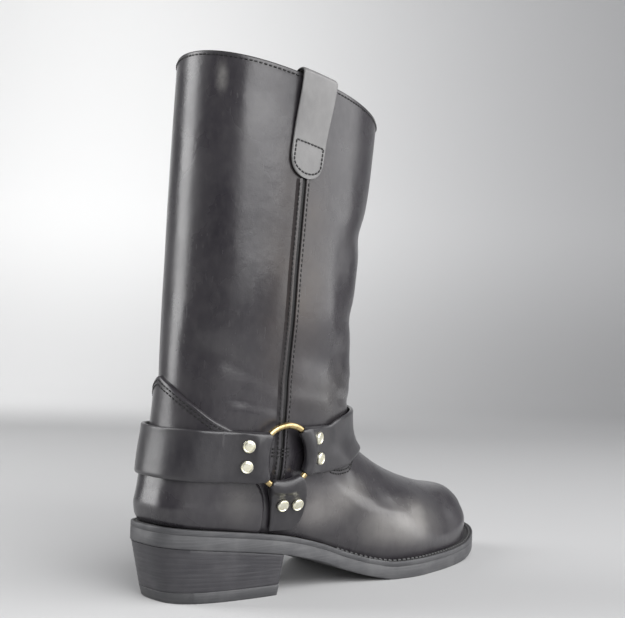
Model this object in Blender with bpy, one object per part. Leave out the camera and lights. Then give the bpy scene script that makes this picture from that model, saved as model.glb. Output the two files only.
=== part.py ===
"""Tall harness boot for the right foot.

A hollow leather upper, straps on two turning rings, a welted sole and a stacked heel.

The toe points to +X and the outer side of the foot to -Y. Sizes below are in millimetres, meshes in metres.
An angle runs round the boot from the back, and is positive on the outer side.
"""

import math

import bmesh
import bpy
import numpy as np
from mathutils import Matrix, Vector
from mathutils.bvhtree import BVHTree

MM = 0.001
GAP = 0.3
SEAT = 0.55  # height of one curved face over another's true face, so that their facets stay clear
MERGE = 1e-6
SLIVER = 1e-7
SHARP_ANGLE = math.radians(40.0)

# Sole, from the back of the heel to the toe
SOLE_LENGTH = 305.0
SOLE_THICKNESS = 12.0
WELT_THICKNESS = 3.5
WELT_INSET = 0.8
WELT_INNER_INSET = 10.5
INSOLE_INSET = 11.0
INSOLE_RISE = 1.5
OUTLINE_POWER = 3.0
OUTLINE_HALF_WIDTHS = {"heel": 40.4, "waist": 37.0, "ball": 53.2, "toe": 53.4}
SOLE_TOP = {  # x: height of the welt's top
    0.0: 47.5, 45.0: 43.0, 84.0: 37.5, 116.0: 29.5, 140.0: 21.0, 160.0: 15.2, 180.0: 12.0, 240.0: 12.0,
    265.0: 12.8, 285.0: 16.0, SOLE_LENGTH: 21.5,
}
CENTRE_LINE = {  # x: y of the middle of the sole
    0.0: 0.0, 45.0: 0.0, 115.0: -4.0, 180.0: -3.2, 225.0: -0.3, 260.0: 2.8, SOLE_LENGTH: 5.0,
}
PLATE_STEPS = 30

# Heel block and top lift
HEEL_BREAST = 84.0
HEEL_INSET = 0.8
HEEL_BACK_RAKE = 9.0
HEEL_BREAST_RAKE = 3.0
HEEL_SIDE_TAPER = 0.05
LIFT_THICKNESS = 7.0
HEEL_STEPS = 12

# Upper: a section joins a back point to a front point, with half widths at four places.
# Sag is the share of the sole's dip that it follows, swing that of its curve, dip the drop of the sides.
# Heel_power rounds its back half and power its front half, lean moves its front to the inner side.
WALL = 2.4
FOOT_RINGS = 21
SHAFT_RINGS = 5
SHAFT_SECTION = 9.0
UPPER_COLUMNS = 36
WIDTH_PLACES = {"heel": 0.15, "waist": 0.40, "ball": 0.68, "toe": 0.90}
LEAN_START = 0.3
LEAN_REACH = 0.4
SECTION_COLUMNS = (
    "back_x", "back_z", "front_x", "front_z", "heel", "waist", "ball", "toe", "power", "sag", "swing", "dip",
    "heel_power", "lean",
)
SECTIONS = {
    "feather": (9.0, 46.7, 297.0, 19.3, 36.0, 34.0, 48.0, 48.0, 3.0, 1.0, 1.0, 0.0, 3.0, 0.0),
    "bulge": (6.9, 52.0, 298.6, 29.4, 38.0, 37.5, 50.0, 48.0, 2.9, 0.95, 1.0, 0.0, 3.2, 0.0),
    "low": (6.4, 57.0, 296.4, 40.8, 39.0, 39.5, 50.0, 45.0, 2.7, 0.85, 1.0, 0.0, 3.2, 0.7),
    "toe_top": (7.3, 62.0, 284.8, 53.6, 39.5, 41.0, 49.5, 42.0, 2.4, 0.7, 1.0, 0.0, 3.1, 1.8),
    "vamp": (8.4, 67.0, 259.8, 60.2, 40.0, 42.5, 48.0, 42.0, 2.2, 0.5, 0.9, 0.0, 3.0, 3.6),
    "ball_top": (9.4, 72.5, 225.6, 68.2, 40.0, 43.5, 47.0, 42.0, 2.1, 0.3, 0.7, 0.0, 2.9, 4.6),
    "low_instep": (10.9, 79.0, 192.7, 78.8, 40.5, 44.5, 46.0, 42.0, 2.05, 0.15, 0.45, 0.0, 2.8, 2.6),
    "instep": (13.4, 90.0, 169.2, 92.0, 41.5, 45.5, 46.0, 44.0, 2.0, 0.05, 0.2, 0.0, 2.6, 0.0),
    "ankle": (16.6, 106.0, 162.3, 108.0, 44.0, 47.0, 48.0, 48.0, 2.0, 0.0, 0.0, 0.0, 2.3, 0.0),
    "low_shaft": (18.1, 135.0, 160.4, 132.0, 48.0, 50.0, 50.0, 50.0, 2.0, 0.0, 0.0, 0.0, 2.05, 0.0),
    "mid_shaft": (20.8, 195.0, 161.5, 182.0, 52.0, 52.5, 52.5, 52.0, 2.1, 0.0, 0.0, 0.0, 2.1, 0.0),
    "high_shaft": (22.6, 265.0, 169.5, 246.0, 53.0, 53.0, 53.0, 53.0, 2.1, 0.0, 0.0, 0.5, 2.1, 0.0),
    "collar": (25.0, 338.4, 176.5, 309.0, 53.5, 53.5, 53.5, 53.5, 2.1, 0.0, 0.0, 1.5, 2.1, 0.0),
}
TOP_SECTION = len(SECTIONS) - 1.0
SLOPE_STEP = 0.02
BISECTIONS = 40

# Heel counter: its front edge leans back with height, its top edge falls from the back to that edge
COUNTER_THICKNESS = 1.5
COUNTER_EDGE_X = {46.0: 66.6, 58.0: 66.2, 64.0: 65.0, 70.0: 62.0, 74.0: 58.6, 95.0: 48.0}
COUNTER_PEAK = -0.13
COUNTER_TOP_Z = {0.0: 135.3, 0.13: 132.0, 0.33: 125.4, 0.53: 119.0, 0.73: 111.8, 0.93: 106.0, 1.13: 98.0}
COUNTER_COLUMNS = 18
COUNTER_ROWS = 9

# Raised side seam
SEAM_ANGLE = math.radians(75.4)
SEAM_LINE = {68.0: 72.4, 100.0: 71.6, 135.0: 71.2, 195.0: 72.4, 230.0: 74.4, 262.0: 76.5}  # height: x
SEAM_WIDTH = 7.0
SEAM_HEIGHT = 1.5
SEAM_LOW_Z = 81.0
SEAM_HIGH_Z = 258.0
SEAM_ROWS = 16
SHAFT_SPEED = 69.0

# Pull strap over the collar
PULL_WIDTH = 22.4
PULL_THICKNESS = 2.0
PULL_OUTER_LEG = 64.0
PULL_INNER_LEG = 45.0
PULL_TIP = 17.0
PULL_TIP_END = 0.93
PULL_LIFT = 2.8
PULL_LEAN = 2.4
PULL_CROWN_RISE = 2.6
PULL_CROWN_STEPS = 6
PULL_LEG_STEPS = 6
PULL_ACROSS = 4

# Harness rings and straps
RING_X = 72.0
RING_Z = 90.0
RING_OFFSET = 5.6
RING_RADIUS = 19.5
WIRE_RADIUS = 2.0
RING_STEPS = 24
WIRE_STEPS = 8
TUNNEL_STEPS = 36
FOLD_RADIUS = 3.6
FOLD_STEPS = 9
STRAP_WIDTH = 30.5
STRAP_THICKNESS = 2.6
STRAP_ACROSS = 4
FOLD_HALF_THICKNESS = 2.5
HEEL_STRAP_SIDE = math.radians(180.0)
FRONT_STRAP_SIDE = math.radians(11.0)
STIRRUP_SIDE = math.radians(277.0)
STRAP_FOLD_SPAN = math.radians(48.5)
STIRRUP_FOLD_SPAN = math.radians(39.0)
STRAP_HALF_SPAN = 14.2
STIRRUP_HALF_SPAN = 12.0
STRAP_SINK = SEAT + COUNTER_THICKNESS + 2.0 * GAP
# distance from the ring's middle along the foot: inner and outer height over the upper
HEEL_STRAP_ENDS = {24.5: (STRAP_SINK + 1.2, 7.8), 28.5: (STRAP_SINK + 0.2, 6.2), 37.0: (STRAP_SINK, 5.0)}
FRONT_SEAT = SEAT + 2.8 * GAP
FRONT_STRAP_ENDS = {25.0: (1.6, 6.2), 29.5: (FRONT_SEAT, 4.8), 38.0: (FRONT_SEAT, 3.6)}
HEEL_STRAP_ROWS = 13
FRONT_STRAP_ROWS = 13
FRONT_STRAP_Z = {0.0: 92.5, 0.2: 97.0, 0.5: 100.0, 1.0: 102.0}
STIRRUP_ROWS = {  # height: middle x, half width, inner and outer height over the upper
    65.5: (79.5, 13.0, 1.4, 6.2), 60.0: (81.5, 12.9, 0.8, 4.6), 54.0: (82.1, 12.5, SEAT, 3.4),
    47.5: (81.5, 11.1, SEAT, 3.1), 42.8: (80.1, 8.9, SEAT, 2.9),
}

# Rivets: place from the ring's middle along the foot and up
RIVET_RADIUS = 4.0
RIVET_HEIGHT = 1.5
RIVET_STEPS = 10
RIVET_CROWN = 0.62
RIVET_EDGE = 0.4
RIVETS = {
    "heel": ((-26.8, 7.0), (-27.2, -5.5)),
    "front": ((25.2, 10.6), (28.6, -2.8)),
    "stirrup": ((3.4, -31.5), (14.4, -31.5)),
}
SEAT_REACH = 30.0

SIDES = {"right": 1.0, "left": -1.0}


def smooth(table, x):
    """Reads a table of x: value at x by a monotone cubic through its rows."""
    xs = np.array(list(table.keys()), float)
    ys = np.array(list(table.values()), float)
    return smooth_rows(xs, ys, x)


def smooth_rows(xs, ys, x):
    """Monotone cubic through the points of xs and ys, read at x."""
    width = np.diff(xs)
    slope = np.diff(ys) / width
    same = slope[1:] * slope[:-1] > 0.0
    total = np.where(same, slope[1:] + slope[:-1], 1.0)
    inside = np.where(same, 2.0 * slope[1:] * slope[:-1] / total, 0.0)
    bend = np.concatenate(([slope[0]], inside, [slope[-1]]))
    x = np.clip(x, xs[0], xs[-1])
    i = np.clip(np.searchsorted(xs, x, side="right") - 1, 0, len(width) - 1)
    f = (x - xs[i]) / width[i]
    low = ys[i] * (1.0 + 2.0 * f) * (1.0 - f) ** 2 + bend[i] * width[i] * f * (1.0 - f) ** 2
    high = ys[i + 1] * f * f * (3.0 - 2.0 * f) + bend[i + 1] * width[i] * f * f * (f - 1.0)
    return low + high


def ease(f):
    """Smooth step from 0 to 1."""
    f = np.clip(f, 0.0, 1.0)
    return f * f * (3.0 - 2.0 * f)


def across(widths, along):
    """Half width at a share of the length, eased between the four places of WIDTH_PLACES."""
    names = list(WIDTH_PLACES)
    half = widths[names[0]]
    for a, b in zip(names[:-1], names[1:]):
        step = ease((along - WIDTH_PLACES[a]) / (WIDTH_PLACES[b] - WIDTH_PLACES[a]))
        half = half + (widths[b] - widths[a]) * step
    return half


def rounded(angle, heel_power, power):
    """Share of the length and of the half width on a superellipse with a power for each end."""
    c = np.cos(angle)
    power = np.where(c > 0.0, heel_power, power)
    k = np.sin(angle)
    along = 0.5 * (1.0 - np.sign(c) * np.abs(c) ** (2.0 / power))
    return along, np.sign(k) * np.abs(k) ** (2.0 / power)


def sole_top(x):
    """Height of the welt's top at x."""
    return smooth(SOLE_TOP, x)


def sole_bottom(x):
    """Height of the outsole's tread at x."""
    return sole_top(x) - SOLE_THICKNESS


def outline(angle, inset):
    """Plan of the sole at an angle, drawn in by inset."""
    along, share = rounded(angle, OUTLINE_POWER, OUTLINE_POWER)
    x = inset + (SOLE_LENGTH - 2.0 * inset) * along
    half = across(OUTLINE_HALF_WIDTHS, along) - inset
    return x, smooth(CENTRE_LINE, x) - half * share


def outline_angles(turns):
    """Angles of the outline whose stations along the sole are those of a circle at the given turns."""
    c = np.cos(turns)
    return np.arccos(np.sign(c) * np.abs(c) ** (0.5 * OUTLINE_POWER))


def section(s):
    """Columns of SECTIONS at section number s."""
    rows = np.array(list(SECTIONS.values()), float)
    numbers = np.arange(len(rows), dtype=float)
    return {name: smooth_rows(numbers, rows[:, i], s) for i, name in enumerate(SECTION_COLUMNS)}


def sole_sag(x):
    """Depth of the sole's top under the straight line between the ends of the lowest section."""
    low = dict(zip(SECTION_COLUMNS, SECTIONS["feather"]))
    share = (x - low["back_x"]) / (low["front_x"] - low["back_x"])
    return sole_top(x) - (low["back_z"] + (low["front_z"] - low["back_z"]) * share)


def upper_point(s, angle):
    """Outer face of the upper at section s and an angle."""
    s, angle = np.broadcast_arrays(np.asarray(s, float), np.asarray(angle, float))
    row = section(s)
    along, share = rounded(angle, row["heel_power"], row["power"])
    x = row["back_x"] + (row["front_x"] - row["back_x"]) * along
    rise = row["back_z"] + (row["front_z"] - row["back_z"]) * along
    z = rise + row["sag"] * sole_sag(x) - row["dip"] * share ** 2 + SEAT
    middle = row["swing"] * smooth(CENTRE_LINE, x) + row["lean"] * ease((along - LEAN_START) / LEAN_REACH)
    y = middle - across(row, along) * share
    return np.stack([x, y, z], axis=-1)


def unit(v):
    """Vectors scaled to length one."""
    return v / np.linalg.norm(v, axis=-1, keepdims=True)


def upper_normal(s, angle):
    """Outward normal of the upper's outer face."""
    above = upper_point(np.minimum(s + SLOPE_STEP, TOP_SECTION), angle)
    up = above - upper_point(np.maximum(s - SLOPE_STEP, 0.0), angle)
    around = upper_point(s, angle + SLOPE_STEP) - upper_point(s, angle - SLOPE_STEP)
    return unit(np.cross(around, up))


def skin(s, angle, height):
    """Point at a height over the upper's outer face, kept clear of the welt."""
    point = upper_point(s, angle) + upper_normal(s, angle) * np.asarray(height)[..., None]
    point[..., 2] = np.maximum(point[..., 2], sole_top(point[..., 0]) + SEAT)
    return point


def solve(height, target):
    """Section numbers at which a height that grows with the section passes its target."""
    low = np.zeros(target.shape)
    high = np.full(target.shape, TOP_SECTION)
    for _ in range(BISECTIONS):
        middle = 0.5 * (low + high)
        under = height(middle) < target
        low = np.where(under, middle, low)
        high = np.where(under, high, middle)
    return 0.5 * (low + high)


def section_at(angle, z):
    """Section number whose outer face passes the height z at an angle."""
    angle, z = np.broadcast_arrays(np.asarray(angle, float), np.asarray(z, float))
    return solve(lambda s: upper_point(s, angle)[..., 2], z)


def angle_at(s, x):
    """Angle at which section s passes x, on the outer side."""
    row = section(s)
    c = 1.0 - 2.0 * np.clip((x - row["back_x"]) / (row["front_x"] - row["back_x"]), 0.0, 1.0)
    power = np.where(c > 0.0, row["heel_power"], row["power"])
    return np.arccos(np.sign(c) * np.abs(c) ** (0.5 * power))


def place(x, z, side):
    """Section number and angle of the point at x and z on one side."""
    x, z = np.broadcast_arrays(np.asarray(x, float), np.asarray(z, float))
    s = solve(lambda s: upper_point(s, side * angle_at(s, x))[..., 2], z)
    return s, side * angle_at(s, x)


def finish_mesh(name, bm, material, root):
    """Closes a bmesh into a named object with outward faces, hung on the root."""
    bmesh.ops.remove_doubles(bm, verts=bm.verts, dist=MERGE)
    bmesh.ops.dissolve_degenerate(bm, edges=bm.edges, dist=SLIVER)
    bmesh.ops.triangulate(bm, faces=bm.faces)
    bmesh.ops.recalc_face_normals(bm, faces=bm.faces)
    mesh = bpy.data.meshes.new(name)
    bm.to_mesh(mesh)
    bm.free()
    mesh.shade_smooth()
    mesh.set_sharp_from_angle(angle=SHARP_ANGLE)
    mesh.materials.append(material)
    obj = bpy.data.objects.new(name, mesh)
    bpy.context.scene.collection.objects.link(obj)
    obj.parent = root
    return obj


def add_grid(bm, points):
    """Adds a grid of points in millimetres and returns its vertices by row."""
    return [[bm.verts.new(Vector(p) * MM) for p in row] for row in points]


def add_faces(bm, rows, wrap):
    """Adds the quads of a grid of vertices."""
    columns = len(rows[0])
    for low, high in zip(rows[:-1], rows[1:]):
        for j in range(columns if wrap else columns - 1):
            k = (j + 1) % columns
            bm.faces.new((low[j], low[k], high[k], high[j]))


def shell(name, outer, inner, material, root, wrap=False):
    """Solid between two matching grids; wrap joins the last column to the first."""
    bm = bmesh.new()
    out = add_grid(bm, outer)
    ins = add_grid(bm, inner)
    add_faces(bm, out, wrap)
    add_faces(bm, ins, wrap)
    for a, b in ((out[0], ins[0]), (out[-1], ins[-1])):
        add_faces(bm, [a, b], wrap)
    if not wrap:
        for j in (0, -1):
            add_faces(bm, [[row[j] for row in out], [row[j] for row in ins]], False)
    return finish_mesh(name, bm, material, root)


def plate(name, top, bottom, material, root):
    """Solid between two ladders, each a pair of edges that run from the back to the front."""
    bm = bmesh.new()
    edges = [[bm.verts.new(Vector(p) * MM) for p in edge] for edge in (*top, *bottom)]
    right_top, left_top, right_bottom, left_bottom = edges
    add_faces(bm, [right_top, left_top], False)
    add_faces(bm, [right_bottom, left_bottom], False)
    add_faces(bm, [right_top, right_bottom], False)
    add_faces(bm, [left_top, left_bottom], False)
    for i in (0, -1):
        bm.faces.new((right_top[i], left_top[i], left_bottom[i], right_bottom[i]))
    return finish_mesh(name, bm, material, root)


def edge_pair(angles, inset, height):
    """Right and left edge of the sole's outline at a height given as a function of x."""
    pair = []
    for side in SIDES.values():
        x, y = outline(side * angles, inset)
        pair.append(np.stack([x, y, height(x)], axis=-1))
    return pair


def principled(name, colour, roughness, metallic=0.0):
    """Principled material with a plain colour."""
    material = bpy.data.materials.new(name)
    material.use_nodes = True
    shader = material.node_tree.nodes["Principled BSDF"]
    shader.inputs["Base Color"].default_value = (*colour, 1.0)
    shader.inputs["Roughness"].default_value = roughness
    shader.inputs["Metallic"].default_value = metallic
    return material


def build_sole(materials, root):
    """Outsole, welt, insole, heel block and top lift."""
    angles = outline_angles(np.linspace(0.0, math.pi, PLATE_STEPS + 1))

    def welt_low(x):
        return sole_top(x) - WELT_THICKNESS

    def outsole_top(x):
        return welt_low(x) - SEAT

    edges = [edge_pair(angles, 0.0, height) for height in (outsole_top, sole_bottom)]
    plate("outsole", *edges, materials["rubber"], root)
    plate(
        "insole",
        edge_pair(angles, INSOLE_INSET, lambda x: sole_top(x) + INSOLE_RISE),
        edge_pair(angles, INSOLE_INSET, welt_low),
        materials["insole"],
        root,
    )
    turn = np.concatenate([angles, -angles[-2:0:-1]])
    loops = []
    outer_loops = ((WELT_INSET, welt_low), (WELT_INSET, sole_top))
    inner_loops = ((WELT_INNER_INSET, sole_top), (WELT_INNER_INSET, welt_low))
    for inset, height in outer_loops + inner_loops:
        x, y = outline(turn, inset)
        loops.append(np.stack([x, y, height(x)], axis=-1))
    shell("welt", loops[:2], loops[:1:-1], materials["welt"], root, wrap=True)
    build_heel(materials, root)


def heel_edges(share, height):
    """Right and left edge of the heel at a share of its depth, 0 at the seat and 1 on the floor."""
    last = math.acos(1.0 - 2.0 * HEEL_BREAST / SOLE_LENGTH)
    angles = outline_angles(np.linspace(0.0, last, HEEL_STEPS + 1))
    pair = []
    for side in SIDES.values():
        x, y = outline(side * angles, 0.0)
        reach = HEEL_BREAST - HEEL_INSET - share * (HEEL_BACK_RAKE + HEEL_BREAST_RAKE)
        place_x = HEEL_INSET + share * HEEL_BACK_RAKE + reach * x / x[-1]
        z = height(place_x) if callable(height) else np.full(x.shape, height)
        narrow = HEEL_INSET / OUTLINE_HALF_WIDTHS["heel"] + share * HEEL_SIDE_TAPER
        pair.append(np.stack([place_x, y * (1.0 - narrow), z], axis=-1))
    return pair


def build_heel(materials, root):
    """Heel block with a raked back, and the lift that stands on the floor."""
    lift_share = 1.0 - LIFT_THICKNESS / sole_bottom(0.5 * HEEL_BREAST)
    plate(
        "heel",
        heel_edges(0.0, lambda x: sole_bottom(x) - SEAT),
        heel_edges(lift_share, LIFT_THICKNESS + GAP),
        materials["heel"],
        root,
    )
    lift_edges = (heel_edges(lift_share, LIFT_THICKNESS), heel_edges(1.0, 0.0))
    plate("top_lift", *lift_edges, materials["rubber"], root)


def build_upper(materials, root):
    """Hollow upper, open at the collar and underneath."""
    foot = np.linspace(0.0, SHAFT_SECTION, FOOT_RINGS, endpoint=False)
    s = np.concatenate([foot, np.linspace(SHAFT_SECTION, TOP_SECTION, SHAFT_RINGS)])[:, None]
    angle = np.linspace(0.0, 2.0 * math.pi, UPPER_COLUMNS, endpoint=False)[None, :]
    outer = upper_point(s, angle)
    inner = skin(s, angle, np.full(outer.shape[:2], -WALL))
    shell("upper", outer, inner, materials["leather"], root, wrap=True)


def build_counter(materials, root):
    """Counter panel over the back of the heel."""
    share = np.linspace(-1.0, 1.0, COUNTER_COLUMNS + 1)
    top_z = smooth(COUNTER_TOP_Z, np.abs(share - COUNTER_PEAK))
    top = solve(lambda s: upper_point(s, counter_angle(s, share))[..., 2], top_z)
    s = np.linspace(0.0, 1.0, COUNTER_ROWS + 1)[:, None] * top[None, :]
    angle = counter_angle(s, share[None, :])
    outer = skin(s, angle, np.full(s.shape, SEAT + COUNTER_THICKNESS))
    inner = skin(s, angle, np.full(s.shape, SEAT))
    shell("heel_counter", outer, inner, materials["leather"], root)


def counter_angle(s, share):
    """Angle at a share of the counter's reach round the heel."""
    return share * angle_at(s, smooth(COUNTER_EDGE_X, section(s)["back_z"]))


def build_seam(name, side, materials, root):
    """Raised seam up one side of the shaft."""
    z = np.linspace(SEAM_LOW_Z, SEAM_HIGH_Z, SEAM_ROWS + 1)[:, None]
    s, angle = place(smooth(SEAM_LINE, z) + np.array([-0.5, 0.5])[None, :] * SEAM_WIDTH, z, side)
    outer = skin(s, angle, np.full(s.shape, SEAT + SEAM_HEIGHT))
    shell(name, outer, skin(s, angle, np.full(s.shape, SEAT)), materials["leather"], root)


def pull_path():
    """Middle line of the pull strap from its tip: height over the collar, distance from the outer face."""
    stand = 0.5 * PULL_THICKNESS + SEAT
    path = []
    for f in np.linspace(0.0, 1.0, PULL_LEG_STEPS + 1):
        path.append(((f - 1.0) * PULL_OUTER_LEG, stand + PULL_LIFT * ease(2.0 * f - 1.0)))
    reach = 0.5 * WALL + stand + PULL_LIFT
    for k in range(1, PULL_CROWN_STEPS):
        turn = math.pi * k / PULL_CROWN_STEPS
        path.append((PULL_CROWN_RISE * math.sin(turn), reach * math.cos(turn) - 0.5 * WALL))
    for f in np.linspace(0.0, 1.0, PULL_LEG_STEPS + 1):
        path.append((-f * PULL_INNER_LEG, -WALL - stand - PULL_LIFT * ease(1.0 - 2.0 * f)))
    return np.array(path)


def build_pull_strap(name, side, materials, root):
    """Pull strap folded over the collar, with a rounded tip outside."""
    path = pull_path()
    along = np.gradient(path, axis=0)
    across_path = unit(np.stack([-along[:, 1], along[:, 0]], axis=-1))
    tip = np.clip((PULL_TIP - PULL_OUTER_LEG - path[:, 0]) / PULL_TIP, 0.0, PULL_TIP_END)
    half = 0.5 * PULL_WIDTH * np.sqrt(1.0 - tip ** 2)
    share = np.linspace(-1.0, 1.0, PULL_ACROSS + 1)[None, :]
    lean = PULL_LEAN * (1.0 + np.minimum(path[:, 0], 0.0) / PULL_OUTER_LEG)
    angle = side * (SEAM_ANGLE + (lean[:, None] + share * half[:, None]) / SHAFT_SPEED)
    rim = upper_point(TOP_SECTION, angle)
    up = unit(rim - upper_point(TOP_SECTION - SLOPE_STEP, angle))
    grids = []
    for half_thickness in (0.5 * PULL_THICKNESS, -0.5 * PULL_THICKNESS):
        rise, out = (path - half_thickness * across_path).T
        s = section_at(angle, rim[..., 2] + np.minimum(rise, 0.0)[:, None])
        point = skin(s, angle, np.broadcast_to(out[:, None], angle.shape))
        grids.append(point + up * np.maximum(rise, 0.0)[:, None, None])
    shell(name, *grids, materials["strap"], root)


def ring_frame(side):
    """Middle of a ring and its directions to the toe, up and outward."""
    s, angle = place(RING_X, RING_Z, side)
    out = upper_normal(s, angle)
    up = unit(np.array([0.0, 0.0, 1.0]) - out[2] * out)
    toe = np.cross(up, out) * side
    return skin(s, angle, np.array(RING_OFFSET)), toe, up, out


def on_ring(frame, turn, radius, lift):
    """Point in a ring's own plane, at a turn from the toe direction and a lift out of the plane."""
    middle, toe, up, out = frame
    flat = toe * np.cos(turn)[..., None] + up * np.sin(turn)[..., None]
    return middle + flat * np.asarray(radius)[..., None] + out * np.asarray(lift)[..., None]


def ring_row(frame, turn_middle, half_width):
    """Outer and inner points of a strap's end along the ring's wire."""
    share = np.linspace(-1.0, 1.0, STRAP_ACROSS + 1)
    turn = turn_middle + np.arcsin(share * half_width / RING_RADIUS)
    radius = np.full(turn.shape, RING_RADIUS)
    lifts = (FOLD_HALF_THICKNESS, -FOLD_HALF_THICKNESS)
    return [on_ring(frame, turn, radius, np.full(turn.shape, lift)) for lift in lifts]


def torus_points(frame, turns, radius, steps):
    """Grid of points round the wire of a ring."""
    around = np.linspace(0.0, 2.0 * math.pi, steps, endpoint=False)[None, :]
    turns = np.asarray(turns)[:, None] + np.zeros(around.shape)
    lift = radius * np.sin(around) + np.zeros(turns.shape)
    return on_ring(frame, turns, RING_RADIUS + radius * np.cos(around), lift)


def guide(obj):
    """Marks an object as a construction guide."""
    obj.hide_render = True
    obj.display_type = "WIRE"
    return obj


def fold_round(strap, frame, turn_middle, span, label, materials, root):
    """Rolls the end of a strap round a ring's wire and leaves a tunnel for it."""
    bm = bmesh.new()
    turns = np.linspace(turn_middle - span, turn_middle + span, FOLD_STEPS + 1)
    rows = add_grid(bm, torus_points(frame, turns, FOLD_RADIUS, WIRE_STEPS))
    add_faces(bm, rows, True)
    bm.faces.new(rows[0])
    bm.faces.new(rows[-1])
    roll = guide(finish_mesh(f"roll_{label}", bm, materials["strap"], root))
    bm = bmesh.new()
    turns = np.linspace(0.0, 2.0 * math.pi, TUNNEL_STEPS + 1)
    rows = add_grid(bm, torus_points(frame, turns, WIRE_RADIUS + GAP, WIRE_STEPS))
    add_faces(bm, rows, True)
    tunnel = guide(finish_mesh(f"tunnel_{label}", bm, materials["strap"], root))
    for tool, operation in ((roll, "UNION"), (tunnel, "DIFFERENCE")):
        cut = strap.modifiers.new(tool.name, "BOOLEAN")
        cut.object = tool
        cut.operation = operation
        cut.solver = "EXACT"


def strap_rows(xs, z_rows, heights, side):
    """Outer and inner points of strap rows at given x, heights up the boot and heights over the upper."""
    s, angle = place(xs, z_rows, side)
    inner, outer = heights
    return skin(s, angle, np.broadcast_to(outer, s.shape)), skin(s, angle, np.broadcast_to(inner, s.shape))


def band(ends, direction, z, side):
    """Rows of a strap near one ring, from the ring outward, on the side of the boot given."""
    share = np.linspace(-0.5, 0.5, STRAP_ACROSS + 1) * STRAP_WIDTH
    outer, inner = [], []
    for reach, heights in ends.items():
        o, i = strap_rows(RING_X + direction * reach, z + share, heights, side)
        outer.append(o)
        inner.append(i)
    return outer, inner


def build_heel_strap(frames, materials, root):
    """Strap round the heel from ring to ring."""
    share = np.linspace(-0.5, 0.5, STRAP_ACROSS + 1) * STRAP_WIDTH
    halves = {}
    for name, side in SIDES.items():
        outer, inner = band(HEEL_STRAP_ENDS, -1.0, RING_Z, side)
        end = ring_row(frames[name], HEEL_STRAP_SIDE, -STRAP_HALF_SPAN)
        halves[name] = ([end[0]] + outer, [end[1]] + inner)
    reach = RING_X - max(HEEL_STRAP_ENDS)
    edge = place(reach, RING_Z, 1.0)[1]
    turns = np.linspace(edge, -edge, HEEL_STRAP_ROWS + 2)[1:-1][:, None]
    s = section_at(turns, RING_Z + share[None, :])
    turns = np.broadcast_to(turns, s.shape)
    back_outer = skin(s, turns, np.full(s.shape, STRAP_SINK + STRAP_THICKNESS))
    back_inner = skin(s, turns, np.full(s.shape, STRAP_SINK))
    far = (back_outer, back_inner)
    return join_strap("strap_heel", halves, far, frames, HEEL_STRAP_SIDE, materials, root)


def build_front_strap(frames, materials, root):
    """Strap over the instep from ring to ring, rising to the front."""
    share = np.linspace(-0.5, 0.5, STRAP_ACROSS + 1) * STRAP_WIDTH
    halves = {}
    for name, side in SIDES.items():
        outer, inner = band(FRONT_STRAP_ENDS, 1.0, FRONT_STRAP_Z[0.0], side)
        end = ring_row(frames[name], FRONT_STRAP_SIDE, STRAP_HALF_SPAN)
        halves[name] = ([end[0]] + outer, [end[1]] + inner)
    edge = place(RING_X + max(FRONT_STRAP_ENDS), FRONT_STRAP_Z[0.0], 1.0)[1]
    turns = np.linspace(edge, 2.0 * math.pi - edge, FRONT_STRAP_ROWS + 2)[1:-1]
    rise = smooth(FRONT_STRAP_Z, 1.0 - np.abs(turns - math.pi) / (math.pi - edge))
    s = section_at(turns[:, None], rise[:, None] + share[None, :])
    turns = np.broadcast_to(turns[:, None], s.shape)
    front_outer = skin(s, turns, np.full(s.shape, FRONT_SEAT + STRAP_THICKNESS))
    front_inner = skin(s, turns, np.full(s.shape, FRONT_SEAT))
    far = (front_outer, front_inner)
    return join_strap("strap_front", halves, far, frames, FRONT_STRAP_SIDE, materials, root)


def join_strap(name, halves, far, frames, turn_middle, materials, root):
    """One strap from the right ring over its far stretch to the left ring, with both ends folded."""
    grids = []
    for layer, rows in enumerate(far):
        grids.append([*halves["right"][layer], *rows, *halves["left"][layer][::-1]])
    strap = shell(name, *grids, materials["strap"], root)
    for label, frame in frames.items():
        fold_round(strap, frame, turn_middle, STRAP_FOLD_SPAN, f"{name}_{label}", materials, root)
    return strap


def build_stirrup(name, label, frames, materials, root):
    """Strap from a ring down to the welt, narrowing to its end."""
    side = SIDES[label]
    share = np.linspace(-1.0, 1.0, STRAP_ACROSS + 1)
    end = ring_row(frames[label], STIRRUP_SIDE, STIRRUP_HALF_SPAN)
    outer, inner = [end[0]], [end[1]]
    for z, (middle, half, low, high) in STIRRUP_ROWS.items():
        o, i = strap_rows(middle + share * half, np.full(share.shape, z), (low, high), side)
        outer.append(o)
        inner.append(i)
    strap = shell(name, outer, inner, materials["strap"], root)
    fold_round(strap, frames[label], STIRRUP_SIDE, STIRRUP_FOLD_SPAN, name, materials, root)
    return strap


def build_ring(name, frame, material, root):
    """Harness ring with its origin on its own axis."""
    middle, toe, up = frame[:3]
    bm = bmesh.new()
    flat = (np.zeros(3), np.array([1.0, 0.0, 0.0]), np.array([0.0, 1.0, 0.0]), np.array([0.0, 0.0, 1.0]))
    turns = np.linspace(0.0, 2.0 * math.pi, RING_STEPS + 1)
    rows = add_grid(bm, torus_points(flat, turns, WIRE_RADIUS, WIRE_STEPS))
    add_faces(bm, rows, True)
    ring = finish_mesh(name, bm, material, root)
    third = np.cross(toe, up)
    basis = Matrix([list(v) for v in np.stack([toe, up, third], axis=1)]).to_4x4()
    ring.matrix_local = Matrix.Translation(Vector(middle) * MM) @ basis
    return ring


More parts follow.
